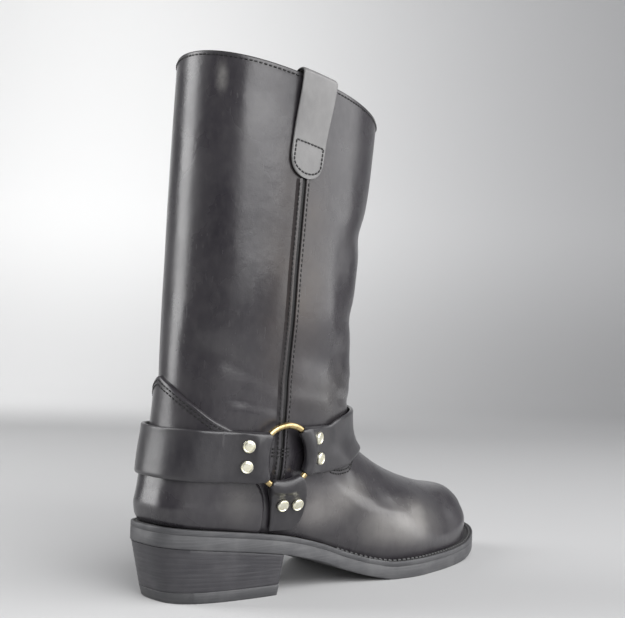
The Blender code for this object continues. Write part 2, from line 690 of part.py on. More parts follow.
def build_rivet(name, strap, frame, spot, material, root):
    """Domed rivet seated on the outer face of a strap."""
    middle, toe, up, out = frame
    tree = BVHTree.FromObject(strap, bpy.context.evaluated_depsgraph_get())
    around = np.linspace(0.0, 2.0 * math.pi, RIVET_STEPS, endpoint=False)
    hits = []
    rim = [(RIVET_RADIUS * math.cos(a), RIVET_RADIUS * math.sin(a)) for a in around]
    for ahead, rise in [(0.0, 0.0)] + rim:
        aim = middle + toe * (spot[0] + ahead) + up * (spot[1] + rise) + out * SEAT_REACH
        hits.append(tree.ray_cast(Vector(aim) * MM, -Vector(out))[:2])
    hit = hits[0][0]
    normal = sum((n for _, n in hits), Vector()).normalized()
    seat = max((point - hit).dot(normal) for point, _ in hits) + GAP * MM
    bm = bmesh.new()
    edge = RIVET_EDGE * RIVET_HEIGHT
    rings = ((RIVET_RADIUS, 0.0), (RIVET_RADIUS, edge), (RIVET_CROWN * RIVET_RADIUS, RIVET_HEIGHT))
    rows = add_grid(bm, [[(r * math.cos(a), r * math.sin(a), h) for a in around] for r, h in rings])
    add_faces(bm, rows, True)
    bm.faces.new(rows[0])
    bm.faces.new(rows[-1])
    rivet = finish_mesh(name, bm, material, root)
    turn = normal.to_track_quat("Z", "Y").to_matrix().to_4x4()
    rivet.matrix_local = Matrix.Translation(hit + normal * seat) @ turn


def centre_on_floor(root):
    """Moves the root so that the middle of the boot's box stands over the origin."""
    bpy.context.view_layer.update()
    corners = []
    for obj in root.children:
        if not obj.hide_render:
            corners += [obj.matrix_local @ v.co for v in obj.data.vertices]
    for axis in (0, 1):
        values = [c[axis] for c in corners]
        root.location[axis] = -0.5 * (min(values) + max(values))


def main():
    """Builds every sub-part."""
    for obj in list(bpy.data.objects):
        bpy.data.objects.remove(obj)
    root = bpy.data.objects.new("boot", None)
    bpy.context.scene.collection.objects.link(root)
    materials = {
        "leather": principled("upper_leather", (0.030, 0.028, 0.030), 0.42),
        "strap": principled("strap_leather", (0.026, 0.025, 0.027), 0.40),
        "welt": principled("welt_leather", (0.028, 0.027, 0.028), 0.55),
        "insole": principled("insole_leather", (0.16, 0.11, 0.07), 0.70),
        "rubber": principled("sole_rubber", (0.034, 0.034, 0.036), 0.60),
        "heel": principled("heel_stack", (0.040, 0.039, 0.041), 0.50),
        "brass": principled("brass", (0.78, 0.60, 0.30), 0.25, 1.0),
    }
    frames = {label: ring_frame(side) for label, side in SIDES.items()}
    build_sole(materials, root)
    build_upper(materials, root)
    build_counter(materials, root)
    straps = {
        "heel": build_heel_strap(frames, materials, root),
        "front": build_front_strap(frames, materials, root),
    }
    for label, side in SIDES.items():
        build_seam(f"side_seam_{label}", side, materials, root)
        build_pull_strap(f"pull_strap_{label}", side, materials, root)
        straps["stirrup"] = build_stirrup(f"stirrup_{label}", label, frames, materials, root)
        build_ring(f"ring_{label}", frames[label], materials["brass"], root)
        bpy.context.view_layer.update()
        for which, spots in RIVETS.items():
            for number, spot in enumerate(spots, 1):
                name = f"rivet_{which}_{label}_{number}"
                build_rivet(name, straps[which], frames[label], spot, materials["brass"], root)
    centre_on_floor(root)


main()
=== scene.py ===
"""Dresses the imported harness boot: leather, straps, stitches, brass and sole, in a pale studio.

Sizes are in millimetres from the back of the sole, as in the part's own source; meshes are in metres.
An angle runs round the boot from the back, and is positive on the outer side.
"""

import logging
import math
from collections.abc import Callable
from dataclasses import dataclass, field
from enum import Enum

import bmesh
import bpy
import numpy as np
from mathutils import Matrix, Vector


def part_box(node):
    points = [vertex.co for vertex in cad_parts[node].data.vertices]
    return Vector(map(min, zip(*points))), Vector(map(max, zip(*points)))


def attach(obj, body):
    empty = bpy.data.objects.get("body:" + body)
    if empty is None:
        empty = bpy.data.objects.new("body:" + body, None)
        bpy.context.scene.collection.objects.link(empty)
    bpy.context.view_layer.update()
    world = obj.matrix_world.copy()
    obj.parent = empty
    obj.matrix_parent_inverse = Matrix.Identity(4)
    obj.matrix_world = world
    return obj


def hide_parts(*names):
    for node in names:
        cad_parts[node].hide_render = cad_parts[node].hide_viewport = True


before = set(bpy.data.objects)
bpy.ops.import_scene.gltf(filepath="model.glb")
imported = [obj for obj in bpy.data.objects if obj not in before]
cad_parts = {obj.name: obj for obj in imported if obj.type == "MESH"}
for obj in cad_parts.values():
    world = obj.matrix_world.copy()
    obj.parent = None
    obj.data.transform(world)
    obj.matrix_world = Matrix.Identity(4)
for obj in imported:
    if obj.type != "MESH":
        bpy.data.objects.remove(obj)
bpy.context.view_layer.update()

Array = np.ndarray
Colour = tuple[float, float, float]
Triple = tuple[float, float, float]
Pairs = tuple[tuple[float, float], ...]
Table = dict[float, float]
HeightLine = Callable[[Array], Array]
Material = bpy.types.Material
Piece = bpy.types.Object
Socket = bpy.types.NodeSocket
Feed = Socket | float | tuple[float, ...] | Vector

MM = 0.001
FULL_TURN = 2.0 * math.pi
UP = np.array([0.0, 0.0, 1.0])
ORIGIN = Vector((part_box("outsole")[0].x, 0.0, 0.0))

# Clearance of the leather over the welt, and the height at which the upper sits on it.
GAP = 0.3
SEAT = 0.55

# Step that a slope is read over, and halvings that find a section.
SLOPE_STEP = 0.02
BISECTIONS = 40

# Angle over which an edge shows as sharp, and distance in metres under which points are one.
SHARP_ANGLE = math.radians(50.0)
MERGE = 1e-7

# Length under which a vector counts as nothing.
TINY = 1e-9

# Columns across a harness strap as shares of its half width, closest at the rounded edges.
STRAP_SHARES = np.array(
    (-1.0, -0.985, -0.955, -0.91, -0.84, -0.6, -0.3, 0.0, 0.3, 0.6, 0.84, 0.91, 0.955, 0.985, 1.0)
)

# Width of the photograph in pixels, and of the camera's sensor in millimetres.
IMAGE_WIDTH = 625.0
SENSOR = 36.0

BODY = "boot"

log = logging.getLogger("boot")


class Side(Enum):
    """Outer (right) and inner (left) side of the boot."""

    RIGHT = 1.0
    LEFT = -1.0

    @property
    def label(self) -> str:
        """Lower-case name, as the nodes use it."""
        return self.name.lower()


class Slot(Enum):
    """Material slots of the record."""

    UPPER = "upper_leather"
    STRAP = "strap_leather"
    WELT = "welt_leather"
    INSOLE = "insole_leather"
    RUBBER = "sole_rubber"
    HEEL = "heel_stack"
    BRASS = "brass"


def smooth_rows(xs: Array, ys: Array, at: Array) -> Array:
    """Monotone cubic through points.

    Args:
        xs: Rising places of the points.
        ys: Their values.
        at: Places to read.

    Returns:
        The values at those places.
    """
    width = np.diff(xs)
    slope = np.diff(ys) / width
    same = slope[1:] * slope[:-1] > 0.0
    total = np.where(same, slope[1:] + slope[:-1], 1.0)
    inside = np.where(same, 2.0 * slope[1:] * slope[:-1] / total, 0.0)
    bend = np.concatenate(([slope[0]], inside, [slope[-1]]))
    at = np.clip(at, xs[0], xs[-1])
    i = np.clip(np.searchsorted(xs, at, side="right") - 1, 0, len(width) - 1)
    f = (at - xs[i]) / width[i]
    low = ys[i] * (1.0 + 2.0 * f) * (1.0 - f) ** 2 + bend[i] * width[i] * f * (1.0 - f) ** 2
    high = ys[i + 1] * f * f * (3.0 - 2.0 * f) + bend[i + 1] * width[i] * f * f * (f - 1.0)
    return low + high


def smooth(table: Table, at: Array) -> Array:
    """Reads a short table of place to value.

    Args:
        table: Place to value, in rising order.
        at: Places to read.

    Returns:
        The values there.
    """
    return smooth_rows(np.array(list(table), float), np.array(list(table.values()), float), at)


def ease(f: Array) -> Array:
    """Smooth step from 0 to 1."""
    f = np.clip(f, 0.0, 1.0)
    return f * f * (3.0 - 2.0 * f)


def unit(v: Array) -> Array:
    """Vectors scaled to length one."""
    return v / np.maximum(np.linalg.norm(v, axis=-1, keepdims=True), TINY)


def spline(rows: Array, steps: int, before: Array, after: Array) -> Array:
    """Smooth curve through rows of points, with its run fixed by a point before and one after.

    Args:
        rows: Points by row.
        steps: Steps between two rows.
        before: Row that would come first.
        after: Row that would come last.

    Returns:
        The finer rows.
    """
    full = np.concatenate([before[None], rows, after[None]])
    reach = np.linalg.norm(np.diff(full, axis=0), axis=-1).mean(axis=tuple(range(1, full.ndim - 1)))
    pace = np.diff(full, axis=0) / reach.reshape(-1, *([1] * (full.ndim - 1)))
    out = []
    for i in range(1, len(full) - 2):
        a, b, c = reach[i - 1], reach[i], reach[i + 1]
        start = (pace[i - 1] * b + pace[i] * a) / (a + b)
        end = (pace[i] * c + pace[i + 1] * b) / (b + c)
        for f in np.linspace(0.0, 1.0, steps, endpoint=False):
            low = full[i] * (1 + 2 * f) * (1 - f) ** 2 + start * b * f * (1 - f) ** 2
            out.append(low + full[i + 1] * f * f * (3 - 2 * f) + end * b * f * f * (f - 1))
    out.append(full[-2])
    return np.array(out)


def table(rows: dict) -> dict:
    """Dataclass field that starts as a copy of the rows."""
    return field(default_factory=lambda: dict(rows))


class MeshMaker:
    """Collects grids of points into one closed mesh."""

    def __init__(self) -> None:
        """Starts with nothing."""
        self.points: list[Array] = []
        self.faces: list[tuple[int, ...]] = []
        self.slots: list[int] = []
        self.count = 0

    def add(self, points: Array) -> Array:
        """Adds points.

        Args:
            points: Any array of points in millimetres.

        Returns:
            Their numbers, in the array's own layout.
        """
        flat = np.asarray(points, float).reshape(-1, 3)
        numbers = np.arange(self.count, self.count + len(flat)).reshape(np.shape(points)[:-1])
        self.points.append(flat)
        self.count += len(flat)
        return numbers

    def quads(self, rows: Array, wrap: bool = False, slot: int = 0) -> None:
        """Adds the faces of a grid of point numbers.

        Args:
            rows: Point numbers by row.
            wrap: Whether the last column meets the first.
            slot: Material of the faces.
        """
        right = np.roll(rows, -1, axis=1)
        cut = slice(None) if wrap else slice(None, -1)
        parts = (rows[:-1, cut], right[:-1, cut], right[1:, cut], rows[1:, cut])
        faces = np.stack(parts, axis=-1).reshape(-1, 4)
        self.faces += [tuple(f) for f in faces.tolist()]
        self.slots += [slot] * len(faces)

    def polygon(self, loop: list[int], slot: int = 0) -> None:
        """Adds one face with the point numbers given."""
        self.faces.append(tuple(int(i) for i in loop))
        self.slots.append(slot)

    def rim(self, out: Array, ins: Array, slot: int = 0) -> None:
        """Joins the four edges of two grids of one size.

        Args:
            out: Point numbers of the outer grid.
            ins: Point numbers of the inner grid.
            slot: Material of the faces.
        """
        ends = ((out[0], ins[0]), (out[-1], ins[-1]))
        sides = ((out[:, 0], ins[:, 0]), (out[:, -1], ins[:, -1]))
        for a, b in ends + sides:
            self.quads(np.stack([a, b]), slot=slot)

    def tube(self, points: Array) -> None:
        """Adds rings of points, joined in a row and closed at both ends.

        Args:
            points: Points by ring.
        """
        numbers = self.add(points)
        self.quads(numbers, wrap=True)
        for end in (numbers[0], numbers[-1]):
            self.polygon(list(end))

    def piece(self, name: str, materials: list[Material], sharp: float = SHARP_ANGLE) -> Piece:
        """Makes the object, in the row frame and in metres.

        Args:
            name: Name of the piece.
            materials: Its materials, in slot order.
            sharp: Angle over which an edge shows as sharp.

        Returns:
            The object.
        """
        mesh = bpy.data.meshes.new(name)
        points = np.concatenate(self.points) * MM + np.array(ORIGIN)
        mesh.from_pydata(points.tolist(), [], self.faces)
        for material in materials:
            mesh.materials.append(material)
        mesh.polygons.foreach_set("material_index", self.slots)
        bm = bmesh.new()
        bm.from_mesh(mesh)
        bmesh.ops.remove_doubles(bm, verts=bm.verts, dist=MERGE)
        bmesh.ops.recalc_face_normals(bm, faces=bm.faces)
        bm.to_mesh(mesh)
        bm.free()
        mesh.shade_smooth()
        mesh.set_sharp_from_angle(angle=sharp)
        obj = bpy.data.objects.new(name, mesh)
        bpy.context.scene.collection.objects.link(obj)
        return obj


def settle(piece: Piece, slot: Slot, *nodes: str, body: str = BODY) -> Piece:
    """Ties a piece to its body and hides the nodes that it stands for.

    Args:
        piece: The piece.
        slot: Record slot of its finish; not used.
        nodes: Nodes that it replaces.
        body: Body that it moves with.

    Returns:
        The piece.
    """
    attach(piece, body)
    if nodes:
        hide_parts(*nodes)
    return piece


@dataclass(frozen=True)
class Mottle:
    """Uneven tone: lumps a metre, octaves, the range of noise that is read and the values at its ends."""

    scale: float
    detail: float
    low: float
    high: float
    start: float = 0.0
    end: float = 1.0
    stretch: Triple = (1.0, 1.0, 1.0)


@dataclass(frozen=True)
class Relief:
    """Fine unevenness of a surface: lumps a metre, octaves, strength and depth in metres."""

    scale: float
    detail: float
    strength: float
    depth: float


class NodePen:
    """Writes the nodes of one material."""

    MIX_COLOURS = (6, 7)

    def __init__(self, name: str) -> None:
        """Starts a material with a shader and object coordinates.

        Args:
            name: Name of the material.
        """
        self.material = bpy.data.materials.new(name)
        self.material.use_nodes = True
        self.tree = self.material.node_tree
        self.shader = self.tree.nodes["Principled BSDF"]
        self.place = self.tree.nodes.new("ShaderNodeTexCoord").outputs["Object"]

    def node(self, kind: str, inputs: dict[str | int, Feed], **settings: str) -> bpy.types.Node:
        """Adds a node.

        Args:
            kind: Blender's name of the node.
            inputs: Socket name or number to value or socket.
            settings: Properties of the node.

        Returns:
            The node.
        """
        node = self.tree.nodes.new(kind)
        for name, value in settings.items():
            setattr(node, name, value)
        for key, value in inputs.items():
            self.put(node, key, value)
        return node

    def put(self, node: bpy.types.Node, key: str | int, value: Feed) -> None:
        """Sets or links one socket of a node.

        Args:
            node: The node.
            key: Name or number of the socket.
            value: Value, or socket that feeds it.
        """
        if isinstance(value, Socket):
            self.tree.links.new(value, node.inputs[key])
        else:
            node.inputs[key].default_value = value

    def noise(self, scale: float, detail: float, stretch: Triple = (1.0, 1.0, 1.0)) -> Socket:
        """Noise over the piece.

        Args:
            scale: Lumps a metre.
            detail: Octaves.
            stretch: Share of the scale along each axis.

        Returns:
            Its value.
        """
        at = self.node("ShaderNodeMapping", {"Vector": self.place, "Scale": stretch}).outputs[0]
        found = self.node("ShaderNodeTexNoise", {"Vector": at, "Scale": scale, "Detail": detail})
        return found.outputs["Fac"]

    def range(self, value: Socket, low: float, high: float, to_low: float, to_high: float) -> Socket:
        """Value moved from one range to another, smooth at both ends."""
        inputs = {"Value": value, 1: low, 2: high, 3: to_low, 4: to_high}
        return self.node("ShaderNodeMapRange", inputs, interpolation_type="SMOOTHSTEP").outputs[0]

    def mix(self, share: Socket, a: Feed, b: Feed) -> Socket:
        """Two colours mixed by a share.

        Args:
            share: Share of the second colour.
            a: First colour, or its socket.
            b: Second colour, or its socket.

        Returns:
            The mixed colour.
        """
        node = self.node("ShaderNodeMix", {0: share}, data_type="RGBA")
        for key, value in zip(self.MIX_COLOURS, (a, b)):
            self.put(node, key, value if isinstance(value, Socket) else (*value, 1.0))
        return node.outputs[2]

    def math(self, operation: str, a: Feed, b: Feed) -> Socket:
        """Two numbers joined by an operation."""
        return self.node("ShaderNodeMath", {0: a, 1: b}, operation=operation).outputs[0]

    def vector(self, operation: str, inputs: dict[str | int, Feed]) -> bpy.types.Node:
        """Node for an operation on vectors."""
        return self.node("ShaderNodeVectorMath", inputs, operation=operation)

    def mottle(self, layer: Mottle) -> Socket:
        """Value of an uneven tone over the piece."""
        value = self.noise(layer.scale, layer.detail, layer.stretch)
        return self.range(value, layer.low, layer.high, layer.start, layer.end)

    def relief(self, layer: Relief, under: Socket | None = None) -> Socket:
        """Normal of a fine unevenness, over another normal where one is given."""
        return self.bump(self.noise(layer.scale, layer.detail), layer.strength, layer.depth, under)

    def glow(self, middle: Vector, reach: Vector) -> Socket:
        """Soft share that is 1 at a place in the row frame and 0 at its reach along each axis.

        Args:
            middle: The place, in metres.
            reach: The reach along each axis.

        Returns:
            The share.
        """
        scale = Vector((1.0 / reach.x, 1.0 / reach.y, 1.0 / reach.z))
        off = self.vector("SUBTRACT", {0: self.place, 1: middle}).outputs[0]
        near = self.vector("MULTIPLY", {0: off, 1: scale}).outputs[0]
        far = self.vector("LENGTH", {0: near}).outputs["Value"]
        return self.range(far, 0.0, 1.0, 1.0, 0.0)

    def bump(self, height: Socket, strength: float, depth: float, under: Socket | None = None) -> Socket:
        """Bumped normal of a height, over another normal where one is given.

        Args:
            height: Height of the surface.
            strength: Strength of the bump.
            depth: Its depth in metres.
            under: Normal that it is laid over.

        Returns:
            The normal.
        """
        inputs = {"Height": height, "Strength": strength, "Distance": depth}
        node = self.node("ShaderNodeBump", inputs)
        if under is not None:
            self.put(node, "Normal", under)
        return node.outputs["Normal"]

    def finish(self, **inputs: Feed) -> Material:
        """Sets the shader's sockets, with spaces written as underscores.

        Args:
            inputs: Socket name to value or socket.

        Returns:
            The finished material.
        """
        for name, value in inputs.items():
            self.put(self.shader, name.replace("_", " ").title().replace("Ior", "IOR"), value)
        return self.material


@dataclass(frozen=True)
class Patch:
    """Soft patch on the leather, with a place and reach in millimetres: a painted highlight, a painted sheen,
    or a worn scuff.
    """

    place: Triple
    reach: Triple
    colour: Colour
    mottle: Mottle = Mottle(30.0, 4.0, 0.3, 0.7, 0.4)


@dataclass(frozen=True)
class Leather:
    """Waxed leather with a fine grain, tone, faint scratches, soft painted highlights and sheen, and a worn
    scuff.
    """

    name: str
    colour: Colour
    deep: Colour
    pale: Colour
    roughness: float
    relief: float = 0.16
    coat: float = 0.35
    coat_roughness: float = 0.26
    ior: float = 1.5
    patches: tuple[Patch, ...] = ()
    tone: Mottle = Mottle(11.0, 4.0, 0.2, 0.8)
    cloud: Mottle = Mottle(46.0, 5.0, 0.3, 0.85, end=0.7)
    fleck: Mottle = Mottle(210.0, 6.0, 0.35, 0.8, end=0.6, stretch=(1.0, 1.0, 0.6))
    scratch: Mottle = Mottle(620.0, 3.0, 0.6, 0.8, end=0.5, stretch=(1.0, 0.6, 0.16))
    scratch_dulling: float = 0.2
    wear: Mottle = Mottle(24.0, 4.0, 0.3, 0.7, -0.06, 0.07)
    wave: Relief = Relief(42.0, 2.0, 0.16, 0.002)
    pebble: Relief = Relief(130.0, 4.0, 0.22, 0.0008)
    cells: float = 1500.0
    cell_share: float = 0.5
    pores: float = 900.0
    pore_detail: float = 3.0
    grain_depth: float = 0.0002

    def base(self, pen: NodePen, scratch: Socket) -> Socket:
        """Lays tone, mottling, painted highlights and sheen, a worn scuff and scratches over one another.

        Args:
            pen: Pen of the material.
            scratch: Share of the scratches.

        Returns:
            The colour.
        """
        colour = pen.mix(pen.mottle(self.tone), self.deep, self.colour)
        for layer in (self.cloud, self.fleck):
            colour = pen.mix(pen.mottle(layer), colour, self.pale)
        # Mixes in each soft patch: painted highlights and sheen, and one worn scuff.
        for patch in self.patches:
            near = pen.glow(Vector(patch.place) * MM + ORIGIN, Vector(patch.reach) * MM)
            colour = pen.mix(pen.math("MULTIPLY", near, pen.mottle(patch.mottle)), colour, patch.colour)
        return pen.mix(scratch, colour, self.pale)

    def grain(self, pen: NodePen) -> Socket:
        """Lays waves, pebbles and the fine grain over one another.

        Args:
            pen: Pen of the material.

        Returns:
            The bumped normal.
        """
        cell = pen.node("ShaderNodeTexVoronoi", {"Vector": pen.place, "Scale": self.cells})
        share = pen.math("MULTIPLY", cell.outputs["Distance"], self.cell_share)
        height = pen.math("ADD", share, pen.noise(self.pores, self.pore_detail))
        under = pen.relief(self.pebble, pen.relief(self.wave))
        return pen.bump(height, self.relief, self.grain_depth, under)

    def material(self) -> Material:
        """Builds the finish.

        Returns:
            The material.
        """
        pen = NodePen(self.name)
        scratch = pen.mottle(self.scratch)
        worn = pen.math("ADD", pen.mottle(self.wear), self.roughness)
        dull = pen.math("MULTIPLY", scratch, self.scratch_dulling)
        return pen.finish(
            base_color=self.base(pen, scratch), roughness=pen.math("ADD", worn, dull), normal=self.grain(pen),
            coat_weight=self.coat, coat_roughness=self.coat_roughness, ior=self.ior,
        )


@dataclass(frozen=True)
class Rubber:
    """Dull dark rubber with fine lines along its edge."""

    name: str
    colour: Colour
    pale: Colour
    roughness: float
    lines: float = 900.0
    relief: float = 0.25
    line_detail: float = 2.0
    line_stretch: Triple = (0.03, 0.03, 1.0)
    line_depth: float = 0.0004
    line_range: tuple[float, float] = (0.45, 0.75)
    line_share: float = 0.45
    dust: Mottle = Mottle(60.0, 5.0, 0.4, 0.75, end=0.7)
    wear: Mottle = Mottle(90.0, 3.0, 0.3, 0.7, -0.06, 0.08)
    grain: Relief = Relief(1600.0, 2.0, 0.2, 0.0002)

    def material(self) -> Material:
        """Builds the finish.

        Returns:
            The material.
        """
        pen = NodePen(self.name)
        line = pen.noise(self.lines, self.line_detail, self.line_stretch)
        colour = pen.mix(pen.mottle(self.dust), self.colour, self.pale)
        colour = pen.mix(pen.range(line, *self.line_range, 0.0, self.line_share), colour, self.pale)
        worn = pen.math("ADD", pen.mottle(self.wear), self.roughness)
        normal = pen.relief(self.grain, pen.bump(line, self.relief, self.line_depth))
        return pen.finish(base_color=colour, roughness=worn, normal=normal)


@dataclass(frozen=True)
class Brass:
    """Polished brass with a little tarnish."""

    name: str
    colour: Colour
    dull: Colour
    roughness: float
    tarnish: Mottle = Mottle(330.0, 4.0, 0.42, 0.7, end=0.8)
    tarnish_dulling: float = 0.18
    dents: Relief = Relief(900.0, 2.0, 0.12, 0.0003)

    def material(self) -> Material:
        """Builds the finish.

        Returns:
            The material.
        """
        pen = NodePen(self.name)
        spot = pen.mottle(self.tarnish)
        worn = pen.math("ADD", pen.math("MULTIPLY", spot, self.tarnish_dulling), self.roughness)
        colour = pen.mix(spot, self.colour, self.dull)
        return pen.finish(base_color=colour, roughness=worn, metallic=1.0, normal=pen.relief(self.dents))


@dataclass(frozen=True)
class Thread:
    """Waxed thread."""

    name: str
    colour: Colour
    pale: Colour
    roughness: float = 0.55
    ply: Mottle = Mottle(2600.0, 2.0, 0.35, 0.7)
    twist: Relief = Relief(2600.0, 2.0, 0.4, 0.0002)

    def material(self) -> Material:
        """Builds the finish.

        Returns:
            The material.
        """
        pen = NodePen(self.name)
        colour = pen.mix(pen.mottle(self.ply), self.colour, self.pale)
        return pen.finish(base_color=colour, roughness=self.roughness, normal=pen.relief(self.twist))


@dataclass(frozen=True)
class Backdrop:
    """Pale studio paper with painted light falloff: lighter on the left and on the wall above the floor,
    darker to the right and on the floor, with its reach and rise in metres.
    """

    name: str = "studio_paper"
    # Lit and shaded tones of one paper, painted for the wall and for the floor.
    light: Colour = (0.86, 0.86, 0.855)
    dark: Colour = (0.70, 0.70, 0.705)
    ground_light: Colour = (0.62, 0.62, 0.62)
    ground_dark: Colour = (0.46, 0.46, 0.465)
    reach: float = 0.8
    rise: float = 0.5
    roughness: float = 0.8

    def material(self, right: Vector) -> Material:
        """Builds the finish.

        Args:
            right: Direction in which the painted shade on the paper deepens.

        Returns:
            The material.
        """
        pen = NodePen(self.name)
        # Painted shade deepens to the right, and the floor takes darker tones than the wall.
        along = pen.vector("DOT_PRODUCT", {0: pen.place, 1: right}).outputs["Value"]
        share = pen.range(along, -self.reach, self.reach, 0.0, 1.0)
        height = pen.node("ShaderNodeSeparateXYZ", {0: pen.place}).outputs["Z"]
        wall = pen.mix(share, self.light, self.dark)
        ground = pen.mix(share, self.ground_light, self.ground_dark)
        colour = pen.mix(pen.range(height, 0.0, self.rise, 0.0, 1.0), ground, wall)
        return pen.finish(base_color=colour, roughness=self.roughness)


@dataclass(frozen=True)
class Finishes:
    """All the boot's finishes."""

    upper: Leather = Leather(
        "upper_leather", (0.027, 0.024, 0.029), (0.018, 0.016, 0.020), (0.046, 0.043, 0.046), 0.28,
        patches=(
            # Warm tint along the side seam: partly the leather's own brown, partly a painted sheen.
            Patch((76.0, -50.0, 205.0), (34.0, 40.0, 120.0), (0.058, 0.046, 0.039)),
            # Painted highlights along the vamp and the side of the toe, in three patches.
            Patch((196.0, -50.0, 38.0), (80.0, 30.0, 23.0), (0.22, 0.21, 0.20)),
            Patch((138.0, -48.0, 60.0), (40.0, 30.0, 20.0), (0.12, 0.113, 0.108)),
            Patch((112.0, -46.0, 54.0), (36.0, 30.0, 22.0), (0.19, 0.18, 0.175)),
            # Painted highlight low on the outer side of the heel counter.
            Patch((46.0, -42.0, 60.0), (20.0, 24.0, 20.0), (0.085, 0.081, 0.079)),
            # Painted highlight at the front of the ankle, on the outer side.
            Patch((118.0, -48.0, 128.0), (44.0, 34.0, 30.0), (0.070, 0.066, 0.064)),
            # A worn scuff at the collar, the leather's own wear.
            Patch(
                (31.0, -24.0, 322.0), (3.5, 12.0, 15.0), (0.16, 0.155, 0.15),
                Mottle(160.0, 4.0, 0.3, 0.7, 0.4),
            ),
        ),
    )
    strap: Leather = Leather(
        "strap_leather", (0.021, 0.019, 0.023), (0.013, 0.012, 0.015), (0.038, 0.036, 0.039),
        0.34, relief=0.2,
    )
    pull: Leather = Leather(
        "pull_leather", (0.150, 0.147, 0.147), (0.115, 0.112, 0.113), (0.19, 0.187, 0.184),
        0.36, relief=0.2,
    )
    lining: Leather = Leather(
        "lining_leather", (0.060, 0.047, 0.036), (0.040, 0.032, 0.025), (0.085, 0.068, 0.052),
        0.62, coat=0.0,
    )
    edge: Leather = Leather(
        "edge_leather", (0.016, 0.015, 0.016), (0.010, 0.010, 0.010), (0.030, 0.028, 0.028),
        0.5, coat=0.0,
    )
    welt: Leather = Leather(
        "welt_leather", (0.034, 0.033, 0.035), (0.022, 0.021, 0.023), (0.056, 0.055, 0.056),
        0.55, coat=0.05,
    )
    insole: Leather = Leather(
        "insole_leather", (0.17, 0.115, 0.072), (0.12, 0.08, 0.05), (0.22, 0.16, 0.11),
        0.68, coat=0.0,
    )
    rubber: Rubber = Rubber("sole_rubber", (0.056, 0.056, 0.060), (0.105, 0.105, 0.108), 0.50)
    heel: Rubber = Rubber("heel_stack", (0.034, 0.033, 0.038), (0.064, 0.062, 0.067), 0.40, 700.0, 0.3)
    brass: Brass = Brass("brass", (0.60, 0.46, 0.23), (0.26, 0.18, 0.08), 0.2)
    rivet: Brass = Brass("rivet_brass", (0.97, 0.95, 0.80), (0.84, 0.80, 0.58), 0.3)
    thread: Thread = Thread("black_thread", (0.006, 0.006, 0.006), (0.022, 0.021, 0.022))
    rope: Thread = Thread("welt_rope", (0.035, 0.035, 0.036), (0.075, 0.074, 0.075))

    def made(self) -> dict[str, Material]:
        """Every finish as a material, by name of its field."""
        return {name: getattr(self, name).material() for name in self.__dataclass_fields__}


@dataclass(frozen=True)
class Crease:
    """Soft trough or ridge on one side of the upper, between two points given as x and z."""

    side: Side
    start: tuple[float, float]
    end: tuple[float, float]
    width: float
    depth: float
    end_reach: float = 1.6

    def rise(self, x: Array, z: Array, side: Array) -> Array:
        """Height that it adds.

        Args:
            x: Places along the foot.
            z: Heights.
            side: Sign of the side of the boot, 1 on the outer one.

        Returns:
            The height at each place.
        """
        a, b = np.array(self.start), np.array(self.end)
        run = b - a
        reach = np.hypot(*run)
        along = ((x - a[0]) * run[0] + (z - a[1]) * run[1]) / reach
        off = ((z - a[1]) * run[0] - (x - a[0]) * run[1]) / reach
        over = np.maximum(np.maximum(-along, along - reach), 0.0)
        near = np.exp(-((off / self.width) ** 2) - (over / (self.end_reach * self.width)) ** 2)
        return self.depth * near * (side * self.side.value > 0.0)


